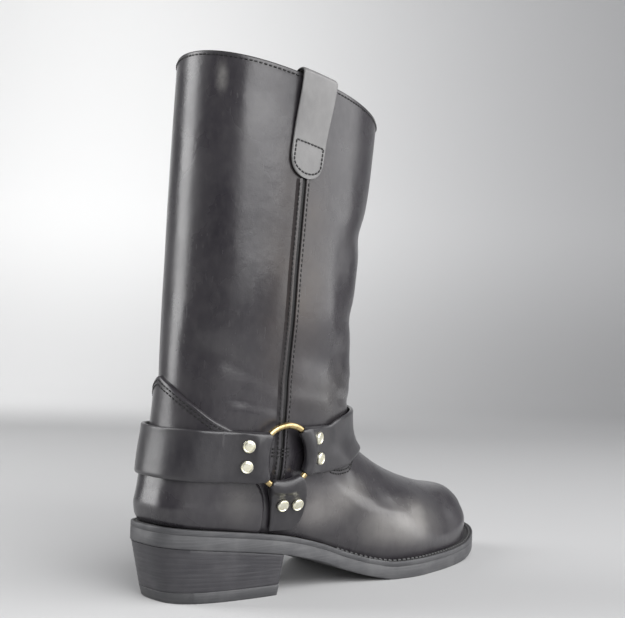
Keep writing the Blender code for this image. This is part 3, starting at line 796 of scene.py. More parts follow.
@dataclass(frozen=True)
class Last:
    """The boot's own form: sole lines and the sections of the upper."""

    sole_length: float = 305.0
    sole_thickness: float = 12.0
    outline_power: float = 3.0
    wall: float = 2.4
    outline_widths: dict[str, float] = table({"heel": 40.4, "waist": 37.0, "ball": 53.2, "toe": 53.4})
    sole_line: Table = table({
        0.0: 47.5, 45.0: 43.0, 84.0: 37.5, 116.0: 29.5, 140.0: 21.0, 160.0: 15.2, 180.0: 12.0,
        240.0: 12.0, 265.0: 12.8, 285.0: 16.0, 305.0: 21.5,
    })
    centre_line: Table = table({
        0.0: 0.0, 45.0: 0.0, 115.0: -4.0, 180.0: -3.2, 225.0: -0.3, 260.0: 2.8, 305.0: 5.0,
    })
    places: dict[str, float] = table({"heel": 0.15, "waist": 0.40, "ball": 0.68, "toe": 0.90})
    columns: tuple[str, ...] = (
        "back_x", "back_z", "front_x", "front_z", "heel", "waist", "ball", "toe",
        "power", "sag", "swing", "dip", "heel_power", "lean",
    )
    lean_start: float = 0.3
    lean_reach: float = 0.4
    sections: dict[str, tuple[float, ...]] = table({
        "feather": (9.0, 46.7, 297.0, 19.3, 36.0, 34.0, 48.0, 48.0, 3.0, 1.0, 1.0, 0.0, 3.0, 0.0),
        "bulge": (6.9, 52.0, 298.6, 29.4, 38.0, 37.5, 50.0, 48.0, 2.9, 0.95, 1.0, 0.0, 3.2, 0.0),
        "low": (6.4, 57.0, 296.4, 40.8, 39.0, 39.5, 50.0, 45.0, 2.7, 0.85, 1.0, 0.0, 3.2, 0.7),
        "toe_top": (7.3, 62.0, 284.8, 53.6, 39.5, 41.0, 49.5, 42.0, 2.4, 0.7, 1.0, 0.0, 3.1, 1.8),
        "vamp": (8.4, 67.0, 259.8, 60.2, 40.0, 42.5, 48.0, 42.0, 2.2, 0.5, 0.9, 0.0, 3.0, 3.6),
        "ball_top": (9.4, 72.5, 225.6, 68.2, 40.0, 43.5, 47.0, 42.0, 2.1, 0.3, 0.7, 0.0, 2.9, 4.6),
        "low_instep": (10.9, 79.0, 192.7, 78.8, 40.5, 44.5, 46.0, 42.0, 2.05, 0.15, 0.45, 0.0, 2.8, 2.6),
        "instep": (13.4, 90.0, 169.2, 92.0, 41.5, 45.5, 46.0, 44.0, 2.0, 0.05, 0.2, 0.0, 2.6, 0.0),
        "ankle": (16.6, 106.0, 162.3, 108.0, 44.0, 47.0, 48.0, 48.0, 2.0, 0.0, 0.0, 0.0, 2.3, 0.0),
        "low_shaft": (18.1, 135.0, 160.4, 132.0, 48.0, 50.0, 50.0, 50.0, 2.0, 0.0, 0.0, 0.0, 2.05, 0.0),
        "mid_shaft": (20.8, 195.0, 161.5, 182.0, 52.0, 52.5, 52.5, 52.0, 2.1, 0.0, 0.0, 0.0, 2.1, 0.0),
        "high_shaft": (22.6, 265.0, 169.5, 246.0, 53.0, 53.0, 53.0, 53.0, 2.05, 0.0, 0.0, 0.5, 2.1, 0.0),
        "collar": (25.0, 338.4, 180.0, 307.5, 53.5, 53.5, 53.5, 53.5, 1.85, 0.0, 0.0, 1.5, 2.1, 0.0),
    })

    @property
    def top(self) -> float:
        """Number of the highest section."""
        return len(self.sections) - 1.0

    def across(self, widths: dict[str, Array], along: Array) -> Array:
        """Half width at a share of the length.

        Args:
            widths: Half widths at the four places.
            along: Shares of the length.

        Returns:
            The half widths there.
        """
        names = list(self.places)
        half = widths[names[0]]
        for a, b in zip(names[:-1], names[1:]):
            step = ease((along - self.places[a]) / (self.places[b] - self.places[a]))
            half = half + (widths[b] - widths[a]) * step
        return half

    @staticmethod
    def rounded(angle: Array, heel_power: Array, power: Array) -> tuple[Array, Array]:
        """Share of the length and of the half width on a superellipse with a power for each end.

        Args:
            angle: Angles.
            heel_power: Power at the heel.
            power: Power at the toe.

        Returns:
            The two shares, the second signed by side.
        """
        c, k = np.cos(angle), np.sin(angle)
        power = np.where(c > 0.0, heel_power, power)
        along = 0.5 * (1.0 - np.sign(c) * np.abs(c) ** (2.0 / power))
        return along, np.sign(k) * np.abs(k) ** (2.0 / power)

    def sole_top(self, x: Array) -> Array:
        """Height of the welt's top at x."""
        return smooth(self.sole_line, x)

    def outline(self, angle: Array, inset: float) -> tuple[Array, Array]:
        """Plan of the sole at an angle, drawn in by an inset.

        Args:
            angle: Angles.
            inset: Distance inside the outline.

        Returns:
            The x and y there.
        """
        along, share = self.rounded(angle, self.outline_power, self.outline_power)
        x = inset + (self.sole_length - 2.0 * inset) * along
        half = self.across(self.outline_widths, along) - inset
        return x, smooth(self.centre_line, x) - half * share

    def turns(self, count: int) -> Array:
        """Angles once round the outline, with even stations along the sole.

        Args:
            count: Stations on each side.

        Returns:
            The angles.
        """
        c = np.cos(np.linspace(0.0, math.pi, count + 1))
        half = np.arccos(np.sign(c) * np.abs(c) ** (0.5 * self.outline_power))
        return np.concatenate([half, FULL_TURN - half[-2:0:-1]])

    def section(self, s: Array) -> dict[str, Array]:
        """Columns of the sections at section number s.

        Args:
            s: Section numbers.

        Returns:
            Column name to its values.
        """
        rows = np.array(list(self.sections.values()), float)
        numbers = np.arange(len(rows), dtype=float)
        return {name: smooth_rows(numbers, rows[:, i], s) for i, name in enumerate(self.columns)}

    def sag(self, x: Array) -> Array:
        """Depth of the sole's top under the straight line between the ends of the lowest section.

        Args:
            x: Places along the foot.

        Returns:
            The depth, as a negative height.
        """
        low = dict(zip(self.columns, self.sections["feather"]))
        share = (x - low["back_x"]) / (low["front_x"] - low["back_x"])
        return self.sole_top(x) - (low["back_z"] + (low["front_z"] - low["back_z"]) * share)

    def point(self, s: Array, angle: Array) -> Array:
        """Outer face of the upper at section s and an angle.

        Args:
            s: Section numbers.
            angle: Angles.

        Returns:
            The points.
        """
        s, angle = np.broadcast_arrays(np.asarray(s, float), np.asarray(angle, float))
        row = self.section(s)
        along, share = self.rounded(angle, row["heel_power"], row["power"])
        x = row["back_x"] + (row["front_x"] - row["back_x"]) * along
        rise = row["back_z"] + (row["front_z"] - row["back_z"]) * along
        z = rise + row["sag"] * self.sag(x) - row["dip"] * share**2 + SEAT
        middle = row["swing"] * smooth(self.centre_line, x)
        middle = middle + row["lean"] * ease((along - self.lean_start) / self.lean_reach)
        return np.stack([x, middle - self.across(row, along) * share, z], axis=-1)

    def normal(self, s: Array, angle: Array) -> Array:
        """Outward normal of the upper's outer face.

        Args:
            s: Section numbers.
            angle: Angles.

        Returns:
            The directions.
        """
        above = self.point(np.minimum(s + SLOPE_STEP, self.top), angle)
        up = above - self.point(np.maximum(s - SLOPE_STEP, 0.0), angle)
        around = self.point(s, angle + SLOPE_STEP) - self.point(s, angle - SLOPE_STEP)
        return unit(np.cross(around, up))

    def skin(self, s: Array, angle: Array, height: Array | float) -> Array:
        """Point at a height over the upper's outer face, kept clear of the welt.

        Args:
            s: Section numbers.
            angle: Angles.
            height: Heights over the face.

        Returns:
            The points.
        """
        s, angle, height = np.broadcast_arrays(np.asarray(s, float), np.asarray(angle, float), height)
        point = self.point(s, angle) + self.normal(s, angle) * height[..., None]
        point[..., 2] = np.maximum(point[..., 2], self.sole_top(point[..., 0]) + GAP)
        return point

    def solve(self, height: HeightLine, target: Array) -> Array:
        """Section numbers at which a height that grows with the section passes its target.

        Args:
            height: Height at a section number.
            target: Heights to find.

        Returns:
            The section numbers.
        """
        low = np.zeros(target.shape)
        high = np.full(target.shape, self.top)
        for _ in range(BISECTIONS):
            middle = 0.5 * (low + high)
            under = height(middle) < target
            low = np.where(under, middle, low)
            high = np.where(under, high, middle)
        return 0.5 * (low + high)

    def section_at(self, angle: Array, z: Array) -> Array:
        """Section number whose outer face passes the height z at an angle."""
        angle, z = np.broadcast_arrays(np.asarray(angle, float), np.asarray(z, float))
        return self.solve(lambda s: self.point(s, angle)[..., 2], z)

    def angle_at(self, s: Array, x: Array) -> Array:
        """Angle at which section s passes x, on the outer side.

        Args:
            s: Section numbers.
            x: Places along the foot.

        Returns:
            The angles.
        """
        row = self.section(s)
        c = 1.0 - 2.0 * np.clip((x - row["back_x"]) / (row["front_x"] - row["back_x"]), 0.0, 1.0)
        power = np.where(c > 0.0, row["heel_power"], row["power"])
        return np.arccos(np.sign(c) * np.abs(c) ** (0.5 * power))

    def place(self, x: Array, z: Array, side: float) -> tuple[Array, Array]:
        """Section number and angle of the point at x and z on one side.

        Args:
            x: Places along the foot.
            z: Heights.
            side: 1 on the outer side, -1 on the inner one.

        Returns:
            The section numbers and angles.
        """
        x, z = np.broadcast_arrays(np.asarray(x, float), np.asarray(z, float))
        s = self.solve(lambda s: self.point(s, side * self.angle_at(s, x))[..., 2], z)
        return s, side * self.angle_at(s, x)


@dataclass
class Stitching:
    """Rows of thread, joined into one mesh."""

    name: str
    length: float = 2.3
    pitch: float = 3.1
    radius: float = 0.5
    rings: tuple[tuple[float, float, float], ...] = (
        (-0.5, 0.45, -0.9), (-0.38, 0.95, 0.0), (0.0, 1.0, 0.25), (0.38, 0.95, 0.0), (0.5, 0.45, -0.9),
    )
    around: int = 6
    run_step: float = 0.5
    maker: MeshMaker = field(default_factory=MeshMaker)

    def row(self, line: Array, normal: Array) -> None:
        """Sews one row along a line.

        Args:
            line: Points of the line on the leather.
            normal: Outward directions there.
        """
        run = np.concatenate([[0.0], np.cumsum(np.linalg.norm(np.diff(line, axis=0), axis=1))])
        count = max(1, int(run[-1] / self.pitch))
        at = (np.arange(count) + 0.5) * run[-1] / count
        spot = self.between(at, run, line)
        out = unit(self.between(at, run, normal))
        ahead = self.between(at + self.run_step, run, line)
        along = unit(ahead - self.between(at - self.run_step, run, line))
        beside = np.cross(out, along)
        turn = np.linspace(0.0, FULL_TURN, self.around, endpoint=False)
        for i in range(count):
            rows = []
            for share, size, lift in self.rings:
                middle = spot[i] + along[i] * share * self.length + out[i] * lift * self.radius
                ring = beside[i] * np.cos(turn)[:, None] + out[i] * np.sin(turn)[:, None]
                rows.append(middle + ring * size * self.radius)
            self.maker.tube(np.array(rows))

    @staticmethod
    def between(at: Array, run: Array, rows: Array) -> Array:
        """Rows of numbers read at distances along a run."""
        return np.stack([np.interp(at, run, rows[:, k]) for k in range(rows.shape[1])], axis=-1)

    def sew(self, material: Material, slot: Slot) -> Piece:
        """Makes the joined piece."""
        return settle(self.maker.piece(self.name, [material]), slot)


@dataclass
class Upper:
    """Hollow leather upper with its creases, vamp edge and collar stitching."""

    last: Last
    materials: dict[str, Material]
    foot_rows: int = 120
    shaft_rows: int = 84
    inner_rows: int = 44
    around: int = 232
    shaft_section: float = 9.0
    rim_round: Pairs = ((-0.95, 0.0), (-0.45, -0.18), (-0.12, -0.5), (0.0, -0.95))
    collar_row: float = 2.6
    collar_points: int = 400
    stitch_lift: float = 0.1
    vamp_edge: Table = table({
        96.0: 104.0, 108.0: 87.0, 118.0: 79.4, 128.0: 78.0, 139.0: 79.0, 146.0: 84.0, 152.0: 92.5,
    })
    vamp_step: float = 0.9
    vamp_lip: float = 0.5
    vamp_fade: float = 34.0
    vamp_start: float = 90.0
    vamp_ease: float = 14.0
    vamp_sewn: tuple[float, float] = (104.0, 150.0)
    vamp_rows: tuple[float, ...] = (1.5, 3.7)
    vamp_points: int = 90
    hollow: Table = table({120.0: 78.0, 150.0: 67.0, 185.0: 51.0, 235.0: 39.0, 275.0: 34.0})
    hollow_depth: float = 3.2
    hollow_width: float = 15.0
    hollow_ends: tuple[float, float, float, float] = (112.0, 140.0, 245.0, 278.0)
    crease_fade: float = 0.35
    creases: tuple[Crease, ...] = (
        Crease(Side.RIGHT, (44.0, 117.0), (64.0, 114.0), 4.0, 0.4),
        Crease(Side.RIGHT, (44.0, 125.0), (64.0, 119.0), 4.0, -0.5),
        Crease(Side.RIGHT, (34.0, 151.0), (63.0, 137.0), 10.0, -1.5),
        Crease(Side.RIGHT, (84.0, 124.0), (108.0, 120.0), 5.0, 0.8),
        Crease(Side.RIGHT, (92.0, 151.0), (112.0, 149.0), 13.0, -1.8),
        Crease(Side.RIGHT, (128.0, 124.0), (146.0, 120.0), 3.2, -0.8),
        Crease(Side.RIGHT, (122.0, 131.0), (146.0, 128.0), 3.8, 0.5),
        Crease(Side.RIGHT, (134.0, 142.0), (152.0, 137.0), 7.0, 0.9),
        Crease(Side.RIGHT, (118.0, 210.0), (126.0, 160.0), 14.0, -1.5),
        Crease(Side.RIGHT, (60.0, 300.0), (52.0, 230.0), 16.0, -1.0),
        Crease(Side.RIGHT, (151.0, 238.0), (149.0, 168.0), 12.0, -1.3),
        Crease(Side.RIGHT, (142.0, 230.0), (166.0, 234.0), 10.0, -2.0),
        Crease(Side.RIGHT, (140.0, 178.0), (164.0, 172.0), 10.0, -2.0),
        Crease(Side.RIGHT, (168.0, 62.0), (196.0, 50.0), 9.0, -0.9),
        Crease(Side.RIGHT, (186.0, 66.0), (214.0, 52.0), 9.0, 0.7),
        Crease(Side.LEFT, (34.0, 122.0), (66.0, 117.0), 4.5, 0.9),
        Crease(Side.LEFT, (40.0, 134.0), (70.0, 129.0), 6.0, -1.2),
        Crease(Side.LEFT, (88.0, 126.0), (118.0, 121.0), 5.0, 0.9),
        Crease(Side.LEFT, (126.0, 128.0), (152.0, 122.0), 4.0, -1.2),
        Crease(Side.LEFT, (50.0, 200.0), (58.0, 150.0), 14.0, -1.4),
        Crease(Side.LEFT, (118.0, 230.0), (124.0, 165.0), 14.0, -1.4),
        Crease(Side.LEFT, (172.0, 64.0), (200.0, 50.0), 9.0, -0.9),
    )

    def relief(self, s: Array, angle: Array) -> Array:
        """Height of creases and of the vamp's raised edge.

        Args:
            s: Section numbers.
            angle: Angles.

        Returns:
            The height over the plain form.
        """
        point = self.last.point(s, angle)
        side = np.sign(np.sin(angle))
        x, z = point[..., 0], point[..., 2]
        rise = sum(crease.rise(x, z, side) for crease in self.creases)
        rise = rise * ease(np.abs(np.sin(angle)) / self.crease_fade)
        start, full, fade, end = self.hollow_ends
        stretch = ease((x - start) / (full - start)) * ease((end - x) / (end - fade))
        off = (z - smooth(self.hollow, x)) / self.hollow_width
        rise = rise - self.hollow_depth * stretch * np.exp(-(off**2))
        under = smooth(self.vamp_edge, x) - z
        ahead = ease((x - self.vamp_start) / self.vamp_ease)
        lip = ease(0.5 * under / self.vamp_lip + 0.5)
        return rise + self.vamp_step * lip * ease(1.0 - under / self.vamp_fade) * ahead

    def outer(self, s: Array, angle: Array, height: Array | float = 0.0) -> Array:
        """Dressed outer face at a height over it."""
        s, angle = np.broadcast_arrays(np.asarray(s, float), np.asarray(angle, float))
        return self.last.skin(s, angle, self.relief(s, angle) + height)

    def rim_section(self, up: float) -> float:
        """Section number at a height over the collar line, given in millimetres."""
        last = self.last
        return last.top + up / (last.point(last.top, 0.0)[2] - last.point(last.top - 1.0, 0.0)[2])

    def rim_row(self, up: float, height: float, angle: Array) -> Array:
        """Row of the rim, at a height over the collar line and over the outer face."""
        return self.last.skin(self.rim_section(up), angle, height)[0]

    def build(self) -> list[Piece]:
        """Builds and sews the upper."""
        return [self.shell(), self.stitches()]

    def shell(self) -> Piece:
        """Builds the hollow wall.

        Returns:
            The piece.
        """
        last = self.last
        foot = np.linspace(0.0, self.shaft_section, self.foot_rows, endpoint=False)
        low_rim = self.rim_section(self.rim_round[0][0])
        shaft = np.linspace(self.shaft_section, low_rim, self.shaft_rows, endpoint=False)
        angle = np.linspace(0.0, FULL_TURN, self.around, endpoint=False)[None, :]
        outside = self.outer(np.concatenate([foot, shaft])[:, None], angle)
        edge = [self.rim_row(up, deep, angle) for up, deep in self.rim_round]
        edge += [self.rim_row(up, -last.wall - deep, angle) for up, deep in reversed(self.rim_round)]
        inner_s = np.linspace(low_rim, 0.0, self.inner_rows)[1:, None]
        inside = last.skin(inner_s, angle, np.minimum(self.relief(inner_s, angle), 0.0) - last.wall)
        maker = MeshMaker()
        rows = maker.add(np.concatenate([outside, np.array(edge), inside]))
        split = len(outside) + 2 * len(self.rim_round) - 1
        maker.quads(rows[: len(outside) + 1], wrap=True)
        maker.quads(rows[len(outside) : split + 1], wrap=True, slot=1)
        maker.quads(rows[split:], wrap=True, slot=2)
        maker.quads(np.stack([rows[-1], rows[0]]), wrap=True)
        finishes = [self.materials[name] for name in ("upper", "edge", "lining")]
        return settle(maker.piece("boot_upper", finishes), Slot.UPPER, "upper")

    def stitches(self) -> Piece:
        """Sews the row under the collar and the two rows of the vamp's edge.

        Returns:
            The stitches.
        """
        last = self.last
        thread = Stitching("upper_stitches")
        angle = np.linspace(0.0, FULL_TURN, self.collar_points)
        z = last.point(np.full(angle.shape, last.top), angle)[:, 2] - self.collar_row
        s = last.section_at(angle, z)
        thread.row(last.skin(s, angle, self.stitch_lift), last.normal(s, angle))
        x = np.linspace(*self.vamp_sewn, self.vamp_points)
        for side in Side:
            for inset in self.vamp_rows:
                s, angle = last.place(x, smooth(self.vamp_edge, x) - inset, side.value)
                thread.row(self.outer(s, angle, self.stitch_lift), last.normal(s, angle))
        return thread.sew(self.materials["thread"], Slot.UPPER)


@dataclass
class Counter:
    """Panel over the back of the heel, with two rows of stitches along its top."""

    last: Last
    materials: dict[str, Material]
    thickness: float = 2.5
    seat: float = 0.15
    rounding: float = 1.3
    backing: float = 0.05
    rows: int = 60
    row_power: float = 0.9
    columns: int = 96
    column_spread: float = 0.35
    heel_radius: float = 40.0
    stitch_drops: tuple[float, ...] = (3.0, 5.8)
    stitch_reach: float = 0.97
    stitch_lift: float = 0.05
    stitch_points: int = 200
    edge_x: Table = table({46.0: 66.6, 58.0: 66.2, 64.0: 65.0, 70.0: 62.0, 74.0: 58.6, 95.0: 48.0})
    peak: float = -0.21
    peak_round: float = 0.05
    top_z: Table = table({
        0.0: 136.4, 0.08: 134.4, 0.21: 131.4, 0.41: 125.4,
        0.61: 119.0, 0.81: 111.8, 1.01: 106.0, 1.21: 98.0,
    })

    def angle(self, s: Array, share: Array) -> Array:
        """Angle at a share of the panel's reach round the heel."""
        return share * self.last.angle_at(s, smooth(self.edge_x, self.last.section(s)["back_z"]))

    def edge(self, share: Array, drop: float = 0.0) -> Array:
        """Section number of the top edge at a share of the reach, lowered by a drop.

        Args:
            share: Shares of the reach.
            drop: Distance under the edge.

        Returns:
            The section numbers.
        """
        away = np.hypot(share - self.peak, self.peak_round) - self.peak_round
        target = smooth(self.top_z, away) - drop
        return self.last.solve(lambda s: self.last.point(s, self.angle(s, share))[..., 2], target)

    def build(self) -> list[Piece]:
        """Builds and sews the panel."""
        return [self.panel(), self.stitches()]

    def panel(self) -> Piece:
        """Builds the panel.

        Returns:
            The piece.
        """
        even = np.linspace(-1.0, 1.0, self.columns + 1)
        share = np.sin(0.5 * math.pi * even) * self.column_spread + even * (1.0 - self.column_spread)
        top = self.edge(share)
        climb = np.sin(0.5 * math.pi * np.linspace(0.0, 1.0, self.rows + 1)) ** self.row_power
        s = climb[:, None] * top[None, :]
        angle = self.angle(s, share[None, :])
        point = self.last.point(s, angle)
        to_top = point[-1:, :, 2] - point[..., 2]
        reach = self.angle(s, np.asarray(1.0)) * self.heel_radius
        to_side = (1.0 - np.abs(share))[None, :] * reach
        inward = np.clip(np.minimum(to_top, to_side) / self.rounding, 0.0, 1.0)
        height = self.seat + self.thickness * np.sqrt(1.0 - (1.0 - inward) ** 2)
        maker = MeshMaker()
        out = maker.add(self.last.skin(s, angle, height))
        ins = maker.add(self.last.skin(s, angle, self.seat - self.backing))
        maker.quads(out)
        maker.quads(ins)
        maker.rim(out, ins)
        piece = maker.piece("heel_counter_panel", [self.materials["upper"]])
        return settle(piece, Slot.UPPER, "heel_counter")

    def stitches(self) -> Piece:
        """Sews the two rows along the top edge.

        Returns:
            The stitches.
        """
        thread = Stitching("counter_stitches")
        share = np.linspace(-self.stitch_reach, self.stitch_reach, self.stitch_points)
        lift = self.seat + self.thickness + self.stitch_lift
        for drop in self.stitch_drops:
            s = self.edge(share, drop)
            angle = self.angle(s, share)
            thread.row(self.last.skin(s, angle, lift), self.last.normal(s, angle))
        return thread.sew(self.materials["thread"], Slot.UPPER)


@dataclass
class SideSeam:
    """Raised side seam: two narrow bands with a dark groove between, a row of stitches on each."""

    upper: Upper
    side: Side
    track: Table = table({
        68.0: 72.4, 100.0: 71.6, 135.0: 71.2, 195.0: 72.4, 230.0: 74.4, 262.0: 76.5,
    })
    width: float = 7.4
    height: float = 1.7
    low_z: float = 68.0
    high_z: float = 262.0
    rows: int = 130
    band: Pairs = (
        (1.3, 0.0), (1.1, 0.3), (0.95, 0.66), (0.8, 0.92), (0.6, 1.0), (0.42, 0.95), (0.35, 0.7), (0.3, 0.05),
    )
    groove: tuple[int, int] = (6, 10)
    seat: float = 0.1
    backing: float = 0.04
    stitch_share: float = 0.86
    stitch_rise: float = 0.84
    stitch_lift: float = 0.12
    stitch_ends: tuple[float, float] = (4.0, 2.0)
    stitch_points: int = 240
    tacks: tuple[float, ...] = (89.4, 91.6, 93.8)
    tack_reach: float = 1.9
    tack_points: int = 14
    tack_lift: float = 0.15
    tack_end_lift: float = 0.2

    def line(self, share: float, z: Array) -> tuple[Array, Array]:
        """Section numbers and angles of a line along the seam, at a share of its half width."""
        x = smooth(self.track, z) + 0.5 * share * self.width
        return self.upper.last.place(x, z, self.side.value)

    def build(self) -> list[Piece]:
        """Builds and sews the seam."""
        return [self.bands(), self.stitches()]

    def bands(self) -> Piece:
        """Builds the two bands and the groove.

        Returns:
            The piece.
        """
        z = np.linspace(self.low_z, self.high_z, self.rows + 1)
        over, under = [], []
        profile = [(-share, rise) for share, rise in self.band] + list(reversed(self.band))
        for share, rise in profile:
            s, angle = self.line(share, z)
            over.append(self.upper.outer(s, angle, self.seat + rise * self.height))
            under.append(self.upper.outer(s, angle, self.backing))
        maker = MeshMaker()
        out = maker.add(np.stack(over, axis=1))
        ins = maker.add(np.stack(under, axis=1))
        first, last = self.groove
        maker.quads(out[:, : first + 1])
        maker.quads(out[:, first:last], slot=1)
        maker.quads(out[:, last - 1 :])
        maker.quads(ins)
        maker.rim(out, ins)
        name = f"side_seam_band_{self.side.label}"
        materials = [self.upper.materials["upper"], self.upper.materials["thread"]]
        return settle(maker.piece(name, materials), Slot.UPPER, f"side_seam_{self.side.label}")

    def stitches(self) -> Piece:
        """Sews a row on each band and the bar tacks at its foot.

        Returns:
            The stitches.
        """
        thread = Stitching(f"side_seam_stitches_{self.side.label}")
        foot, head = self.stitch_ends
        z = np.linspace(self.low_z + foot, self.high_z - head, self.stitch_points)
        lift = self.stitch_rise * self.height + self.stitch_lift
        for share in (-self.stitch_share, self.stitch_share):
            s, angle = self.line(share, z)
            thread.row(self.upper.outer(s, angle, lift), self.upper.last.normal(s, angle))
        across = np.linspace(-self.tack_reach, self.tack_reach, self.tack_points)
        lift = np.where(np.abs(across) < 1.0, self.height + self.tack_lift, self.tack_end_lift)
        for tack in self.tacks:
            spots = [self.line(share, np.array(tack)) for share in across]
            s, angle = (np.array(values) for values in zip(*spots))
            thread.row(self.upper.outer(s, angle, lift), self.upper.last.normal(s, angle))
        return thread.sew(self.upper.materials["thread"], Slot.UPPER)


@dataclass
class PullStrap:
    """Pull strap folded over the collar, with a sewn rounded tip."""

    upper: Upper
    side: Side
    angle: float = math.radians(75.4)
    width: float = 22.4
    thickness: float = 2.0
    outer_leg: float = 64.0
    inner_leg: float = 45.0
    tip: float = 15.0
    lift: float = 2.8
    lean: float = 2.4
    crown_rise: float = 2.6
    speed: float = 69.0
    leg_steps: int = 40
    crown_steps: int = 14
    edge_share: float = 0.12
    edge_thin: float = 0.3
    edge_columns: int = 2
    shares: tuple[float, ...] = (
        -1.0, -0.98, -0.94, -0.88, -0.7, -0.35, 0.0, 0.35, 0.7, 0.88, 0.94, 0.98, 1.0,
    )
    seat: float = 0.2
    lift_start: float = 0.6
    lift_rate: float = 1.7
    inner_rate: float = 2.0
    tip_power: float = 2.4
    tip_end: float = 0.995
    box_top: float = 21.8
    box_foot: float = 2.6
    box_corner: float = 8.0
    box_round: float = 7.6
    box_half: float = 0.82
    box_points: int = 40
    stitch_pitch: float = 2.6
    stitch_radius: float = 0.55
    stitch_lift: float = 0.05

    def path(self) -> Array:
        """Middle line: height over the collar and distance from the outer face, tip to inner end.

        Returns:
            The rows of the line.
        """
        stand = 0.5 * self.thickness + self.seat
        wall = self.upper.last.wall
        rows = []
        for f in np.sin(0.5 * math.pi * np.linspace(-1.0, 1.0, self.leg_steps + 1)) * 0.5 + 0.5:
            out = self.lift * float(ease(self.lift_rate * f - self.lift_start))
            rows.append(((f - 1.0) * self.outer_leg, stand + out))
        reach = 0.5 * wall + stand + self.lift
        for k in range(1, self.crown_steps):
            turn = math.pi * k / self.crown_steps
            rows.append((self.crown_rise * math.sin(turn), reach * math.cos(turn) - 0.5 * wall))
        for f in np.linspace(0.0, 1.0, self.leg_steps + 1):
            out = self.lift * float(ease(1.0 - self.inner_rate * f))
            rows.append((-f * self.inner_leg, -wall - stand - out))
        return np.array(rows)

    def faces(self, path: Array, share: Array, off: Array) -> Array:
        """Points of one face of the strap.

        Args:
            path: Middle line.
            share: Shares of the half width, by column.
            off: Distance from the middle line, by row and column.

        Returns:
            The points by row and column.
        """
        last = self.upper.last
        along = np.gradient(path, axis=0)
        beside = unit(np.stack([-along[:, 1], along[:, 0]], axis=-1))
        tip = np.clip((self.tip - self.outer_leg - path[:, 0]) / self.tip, 0.0, self.tip_end)
        half = 0.5 * self.width * (1.0 - tip**self.tip_power) ** (1.0 / self.tip_power)
        lean = self.lean * (1.0 + np.minimum(path[:, 0], 0.0) / self.outer_leg)
        across = lean[:, None] + share[None, :] * half[:, None]
        angle = self.side.value * (self.angle + across / self.speed)
        rim = last.point(last.top, angle)
        up = unit(rim - last.point(last.top - SLOPE_STEP, angle))
        rise = path[:, :1] - off * beside[:, :1]
        out = path[:, 1:] - off * beside[:, 1:]
        s = last.section_at(angle, rim[..., 2] + np.minimum(rise, 0.0))
        return last.skin(s, angle, out) + up * np.maximum(rise, 0.0)[..., None]

    def build(self) -> list[Piece]:
        """Builds and sews the strap."""
        return [self.strap(), self.stitches()]

    def strap(self) -> Piece:
        """Builds the folded strap.

        Returns:
            The piece.
        """
        path = self.path()
        share = np.array(self.shares)
        inward = np.clip((1.0 - np.abs(share)) / self.edge_share, 0.0, 1.0)
        thick = 0.5 * self.thickness * np.maximum(np.sqrt(1.0 - (1.0 - inward) ** 2), self.edge_thin)
        off = np.broadcast_to(thick, (len(path), len(share)))
        maker = MeshMaker()
        out = maker.add(self.faces(path, share, off))
        ins = maker.add(self.faces(path, share, -off))
        rim = self.edge_columns
        maker.quads(out[:, : rim + 1], slot=1)
        maker.quads(out[:, rim : -rim])
        maker.quads(out[:, -rim - 1 :], slot=1)
        maker.quads(ins)
        maker.rim(out, ins, slot=1)
        name = f"pull_strap_leather_{self.side.label}"
        piece = maker.piece(name, [self.upper.materials["pull"], self.upper.materials["thread"]])
        return settle(piece, Slot.STRAP, f"pull_strap_{self.side.label}")

    def stitches(self) -> Piece:
        """Sews the rounded box at the tip.

        Returns:
            The stitches.
        """
        name = f"pull_strap_stitches_{self.side.label}"
        thread = Stitching(name, pitch=self.stitch_pitch, radius=self.stitch_radius)
        high = self.box_top - self.outer_leg
        corner = self.box_foot + self.box_corner - self.outer_leg
        count, half = self.box_points, self.box_half
        down = np.linspace(high, corner, count)
        bend = np.linspace(0.0, math.pi, count)
        share = np.concatenate([np.full(count, -half), -half * np.cos(bend), np.full(count, half)])
        rise = np.concatenate([down, corner - self.box_round * np.sin(bend), down[::-1]])
        self.sew(thread, share, rise)
        self.sew(thread, np.linspace(-half, half, count), np.full(count, high))
        return thread.sew(self.upper.materials["thread"], Slot.STRAP)

    def sew(self, thread: Stitching, share: Array, rise: Array) -> None:
        """Sews one row on the outer leg, at shares of the half width and heights over the collar.

        Args:
            thread: The stitches that it joins.
            share: Shares of the half width.
            rise: Heights over the collar, negative under it.
        """
        last = self.upper.last
        lean = self.lean * (1.0 + rise / self.outer_leg)
        angle = self.side.value * (self.angle + (lean + share * 0.5 * self.width) / self.speed)
        rim = last.point(np.full(angle.shape, last.top), angle)
        s = last.section_at(angle, rim[:, 2] + rise)
        leg = self.path()[: self.leg_steps + 1]
        lift = np.interp(rise, leg[:, 0], leg[:, 1]) + 0.5 * self.thickness + self.stitch_lift
        thread.row(last.skin(s, angle, lift), last.normal(s, angle))


